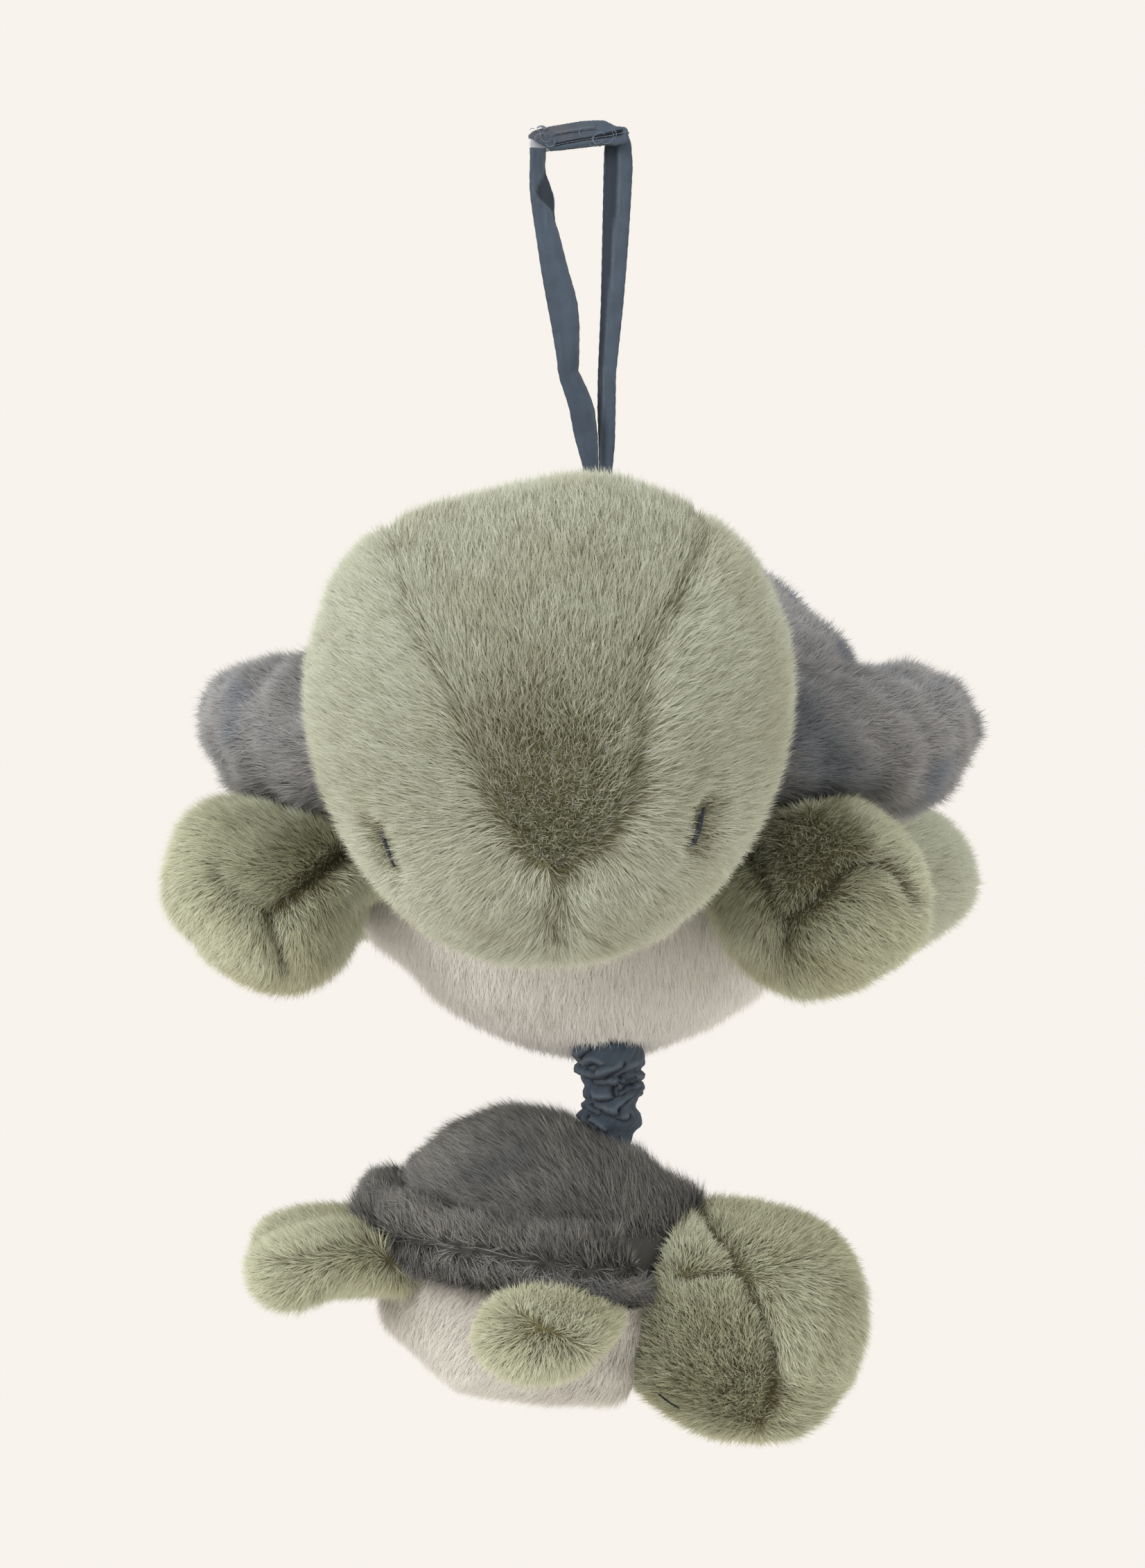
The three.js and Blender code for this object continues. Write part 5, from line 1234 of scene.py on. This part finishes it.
plush_cover("mother_flipper_front_left", sage_painted_bounce, 0.0024,
            flowing((0.8, 0.4, -0.5), (RIGHT_OUTER, (0.6, 0.6, 0.1)), (RIGHT_INNER, (0.1, 0.35, -0.9)),
                    (RIGHT_PATCH, (0.15, 0.3, -0.8))),
            seams=((RIGHT_MAIN, 2.8, 1.0), (RIGHT_SIDE, 1.4, 0.6), (RIGHT_ARC, 2.6, 1.0)), long=0.85,
            dark=right_painted_shade, short=lambda flat: 2.5 * right_painted_shade(flat),
            moved=((80, -231, 20, -0.5, 0, 4.0), (88, -228, 12, -1.0, 0, 1.0)), seed=5)
plush_cover("mother_flipper_front_right", sage_painted_bounce, 0.0024,
            flowing((-0.45, 0.4, -0.8), (LEFT_UPPER, (-0.8, 0.5, -0.35)), (LEFT_INNER, (0.05, 0.35, -0.95))),
            seams=((LEFT_MAIN, 2.8, 0.9), (LEFT_BRANCH, 1.3, 0.4)), long=0.85,
            dark=left_painted_light, short=left_painted_light,
            moved=((-118, -205, 16, 2.2, 0, 0), (-113, -222, 14, 5.0, 0, 4.5), (-100, -232, 16, 1.5, 0, 6.0),
                   (-106, -182, 13, -2.6, 0, 4.2), (-55, -215, 11, -3.0, 3.0, 8.5)), seed=6)
# The rear pair are painted paler, as painted light.
plush_cover("mother_flipper_rear_left", sage, 0.0028, away_from((0.052, 0.090, -0.188), (0.2, 1.2, 0.5)),
            dark=-0.55, moved=((102, -222, 16, -3.0, 0, 3.7), (103, -188, 11, 0.3, 0, 1.6)), seed=7)
plush_cover("mother_flipper_rear_right", sage, 0.0028, away_from((-0.039, 0.098, -0.188), (-0.2, 1.2, 0.5)),
            dark=-0.55, moved=((-52, -226, 20, 3.0, 0, 9.0),), seed=8)

# Baby's shell, roll and belly. The same pattern at half the size, in a darker grey plush. The cord's sleeve
# is sewn into the back, in front of the dome's top. The pile runs down and to the head over the dome.

BABY_MIDDLE = np.array((-0.0160, 0.0225, -0.3010))


def round_baby_roll(places, normals):
    """Up and to the tail over the roll's upper side, and outwards and down under it."""
    out = level_from(BABY_MIDDLE, places)
    upper = soft_step(-0.35, 0.35, normals[:, 2])[:, None]
    return out * (1 - 0.7 * upper) + np.array((-0.35, 0, 0.9)) * upper + np.array((0, 0, -0.6)) * (1 - upper)


# The baby's shell, roll and belly are painted darker, as painted shade.
plush_cover("baby_shell", dark_grey, 0.0020, towards((-0.75, 0.1, 0.65)), ruffle=1.7, lumps=0.4, dark=0.20,
            over=("gathered_sleeve",), seed=9,
            moved=((-18, -266, 13, -0.5, 0, 3.3), (-5, -266, 7, 0, 0, 1.8), (-37, -269, 10, -1.2, 0, 1.2),
                   (29, -289, 11, 12.0, 6.0, 1.0), (17, -273, 6, 0, 0, 1.8)))
plush_cover("baby_rim_roll", dark_grey, 0.0018, round_baby_roll, long=0.85, ruffle=2.6, lumps=0.8, dark=0.36,
            over=("baby_head",), seed=10,
            moved=((26, -304, 14, -9.0, 9.0, 3.0), (-53, -280, 9, 0.3, 0, 3.2), (-64, -288, 9, 0.3, 0, 0.8)))
plush_cover("baby_belly", cream, 0.0020, towards((-0.5, 0.0, -0.8)), long=0.75, dark=0.12, seed=11,
            moved=((-18, -348, 15, 0, 0, 2.5), (-44, -336, 10, 0.6, 0, 0.8), (-57, -321, 9, -5.0, 0, -1.2),
                   (9, -341, 9, 5.0, 0, -2.5)))

# Baby's head. A sage ball of three panels that hangs nose down. The gusset's seam runs over it from the
# back to the nose, and one dart shapes the cheek. The pile runs down beside the seam, and up the cheek.

BABY_SEAM = [(28.0, -286.0), (33.0, -292.8), (37.2, -300.4), (41.0, -304.5), (42.9, -309.7), (46.2, -316.3),
             (49.0, -323.0), (51.5, -329.6), (52.4, -336.6), (51.9, -343.7), (50.0, -348.4)]
BABY_DART = [(42.9, -310.2), (40.1, -310.2), (34.4, -311.6), (28.7, -312.5)]


def over_the_baby_head(places, normals):
    """Down on the seam's far side, down to the seam over the crown, and up the cheek below the dart."""
    flat = seen_from_front(places)
    past = soft_step(-0.001, 0.001, from_lines(flat, [BABY_SEAM])[0][:, 0])[:, None]
    crown, low, top = (soft_step(start, end, flat[:, 1])[:, None] for start, end in (
        (-0.3125, -0.3105), (-0.330, -0.342), (-0.318, -0.296)))
    far_side = (1 - low - top) * np.array((0.45, 0.4, -0.75))
    far_side = far_side + low * np.array((0.9, 0.4, 0.1)) + top * np.array((0.6, 0.9, 0.1))
    near_side = crown * np.array((0.5, 0.8, -0.25)) + (1 - crown) * np.array((-0.1, 0.5, 0.9))
    return past * far_side + (1 - past) * near_side


def baby_painted_light_and_shade(flat):
    """Painted light over the head left of 50 mm across, a little less towards the nose and on the panel by the
    seam, and a little painted shade right of that.
    """
    end, panel = spot(flat, 41, -341, 14, 14), spot(flat, 38, -326, 12, 18)
    left = soft_step(0.056, 0.050, flat[:, 0])
    return left * (0.06 * end + 0.04 * panel - 0.30) + 0.06


plush_cover("baby_head", sage_painted_bounce, 0.0020, over_the_baby_head, long=0.85,
            seams=((BABY_SEAM, 3.0, 1.2), (BABY_DART, 2.2, 1.1)),
            dark=baby_painted_light_and_shade, short=lambda flat: -2 * baby_painted_light_and_shade(flat),
            hollows=("baby_eye_left", "baby_eye_right"), hollow=0.4, over=("baby_shell", "baby_rim_roll"),
            moved=((45, -325, 80, 0.8, 0, 2.2), (22, -306, 24, -2.0, -5.5, 0.3), (40, -357, 16, 0, 0, 2.0),
                   (32, -287, 8, 0, 0, 1.5), (54, -288, 15, -0.5, 0, -1.3), (72, -345, 16, -1.2, 0, 0.8),
                   (23, -351, 10, 1.0, 0, 1.5)), seed=12)

# Baby's flippers. Four small sage paddles, the rear pair with a soft seam along their middle. The pile leans
# away from the line along their middle, and on the rear pair to the tail as well.

PARTED = 0.6
BABY_REAR_LEFT_SEAM = [(-50, -299), (-84, -306)]
BABY_REAR_RIGHT_SEAM = [(-57.8, -299.4), (-70.7, -303.6), (-83.6, -305.5)]


def parted_at(line, bias):
    """Pile that leans away from a line on both sides of it, and some way more."""
    def nap(places, normals):
        way, far = from_lines(seen_from_front(places), [line])
        way /= np.maximum(far, 1e-6)[:, None]
        return PARTED * np.column_stack([way[:, 0], 0 * far, way[:, 1]]) + np.array(bias)
    return nap


def paddle_short(flat):
    """The front paddle faces the viewer with its tip, where the pile is short."""
    return spot(flat, -4, -324, 15, 10, 1.5)


plush_cover("baby_flipper_front_left", sage_painted_bounce, 0.0020,
            parted_at([(-22, -322), (4, -334)], (0.0, -0.5, 0.0)), long=0.8, seed=36)
# The right paddle is painted paler, as painted light, less so on its tip.
plush_cover("baby_flipper_front_right", sage_painted_bounce, 0.0020,
            parted_at([(-16, -320), (4, -330)], (0.0, 0.6, 0.0)), long=0.8,
            dark=lambda flat: 0.15 * paddle_short(flat) - 0.20, short=paddle_short,
            moved=((-8, -332, 36, 0, 0, 6.2), (6, -330, 12, -1.0, 0, 0)), seed=37)
plush_cover("baby_flipper_rear_left", sage_painted_bounce, 0.0020, parted_at(BABY_REAR_LEFT_SEAM, (-0.8, 0.5, 0.3)),
            seams=((BABY_REAR_LEFT_SEAM, 0.15, 0.15),), long=0.8, seed=35)
# The right rear paddle is painted paler, as painted light.
plush_cover("baby_flipper_rear_right", sage_painted_bounce, 0.0020, parted_at(BABY_REAR_RIGHT_SEAM, (-0.8, 0.5, 0.3)),
            seams=((BABY_REAR_RIGHT_SEAM, 0.15, 0.15),), long=0.8, dark=-0.25, seed=36,
            moved=((-63, -318, 12, 0, 0, 5.8), (-84, -293, 13, 1.2, 0, -2.2), (-84, -319, 11, 0, 0, -0.4),
                   (-93, -308, 12, 1.8, 0, 0)))

# Closed eyes. Each is a short bowed line of dark blue satin stitches sewn down through the pile.

EYE_STEPS, EYE_SEWN, EYE_NEAR = 24, 0.94, 0.0012
eye_thread = Finish("dark_blue_eye_thread", **{"Roughness": 0.45})
eye_thread.coloured(eye_thread.noise(1400.0), (18, 22, 34), (44, 52, 70))
for node, thick in (("mother_eye_left", 0.0016), ("mother_eye_right", 0.0016),
                    ("baby_eye_left", 0.0009), ("baby_eye_right", 0.0009)):
    places, _ = points_of(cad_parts[node].data)
    middle = places.mean(0)
    axes = np.linalg.svd(places - middle, full_matrices=False)[2]
    along_eye = (places - middle) @ axes[0]
    start, end = along_eye.min(), along_eye.max()
    line = []
    for k in range(EYE_STEPS + 1):
        near = hump(along_eye - (start * EYE_SEWN + (end - start) * EYE_SEWN * k / EYE_STEPS), EYE_NEAR)
        line.append((places * near[:, None]).sum(0) / near.sum() + np.array(eye_slid.get(node, (0, 0, 0))))
    satin = threads_along(node + "_stitches", [line], eye_thread.material, Spacing=0.00035,
                          Length=1.7 * thick, Radius=thick * 0.22, Bow=0.35,
                          Turn=(0.0, math.radians(72), 0.0), Stray=0.18, Seed=2)
    fitted(satin, node.split("_")[0], "eye_thread", node)

# Filling. Loose polyester fibre, packed lumpy inside each body with room for the movement and the washer.

fibre = Finish("polyester_fibre", **{"Roughness": 1.0})
fibre.coloured(fibre.noise(120.0, 4.0), (226, 226, 224), (244, 244, 242))
fibre.bumped(fibre.noise(340.0, 4.0), 0.0012)
for node, body, voxel in (("mother_filling", "mother", 0.004), ("baby_filling", "baby", 0.0025)):
    packed = softened(node, node + "_fibre", voxel, 3, fibre.material)
    places, normals = points_of(packed.data)
    x, y, z = places.T
    sunk = 0.0006 + 0.0005 * (np.sin(x * 420) * np.sin(y * 390 + 1) * np.sin(z * 450 + 2))
    put(packed.data, places - normals * sunk[:, None])
    fitted(packed, body, "filling", node)

# Music movement. A white moulded case with steel screws holds a brass and steel clockwork: the spring drum,
# the wheel train, the pinned cylinder under its comb, and a plastic governor fan. A washer holds the cord.

plastic = Finish("white_moulded_plastic", **{"Roughness": 0.4})
plastic.coloured(plastic.noise(60.0, 3.0), (222, 222, 218), (236, 236, 233))
plastic.feed("Roughness", 0.34 + plastic.noise(900.0, 3.0) * 0.2)
plastic.bumped(plastic.noise(2200.0), 0.00004)


def metal_finish(name, low, high, polish):
    """Turned metal: fine tool marks in its sheen, and dull spots in its colour."""
    metal = Finish(name, **{"Metallic": 1.0, "Roughness": polish})
    marks = metal.wave({"wave_type": "RINGS", "rings_direction": "Y"}, 900.0, 2.0, 2.0)
    metal.coloured(metal.noise(240.0, 4.0).over(0.35, 0.7), low, high)
    metal.feed("Roughness", polish - 0.06 + marks * 0.14)
    return metal.material


steel = metal_finish("turned_steel", (150, 152, 156), (186, 188, 192), 0.34)
brass = metal_finish("turned_brass", (176, 142, 78), (208, 176, 108), 0.3)
for finish, nodes in (
        (plastic.material, ("case_front", "case_back", "cord_spout", "belly_grommet", "anchor_washer",
                            "governor_fan", "spring_drum")),
        (steel, ("case_screw_1", "case_screw_2", "case_screw_3", "bedplate", "drum_shaft", "mainspring",
                 "tone_comb", "comb_screw_1", "comb_screw_2")),
        (brass, ("drive_wheel", "tone_cylinder"))):
    for node in nodes:
        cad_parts[node].data.materials.clear()
        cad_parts[node].data.materials.append(finish)

bpy.data.objects.remove(pile_strand)
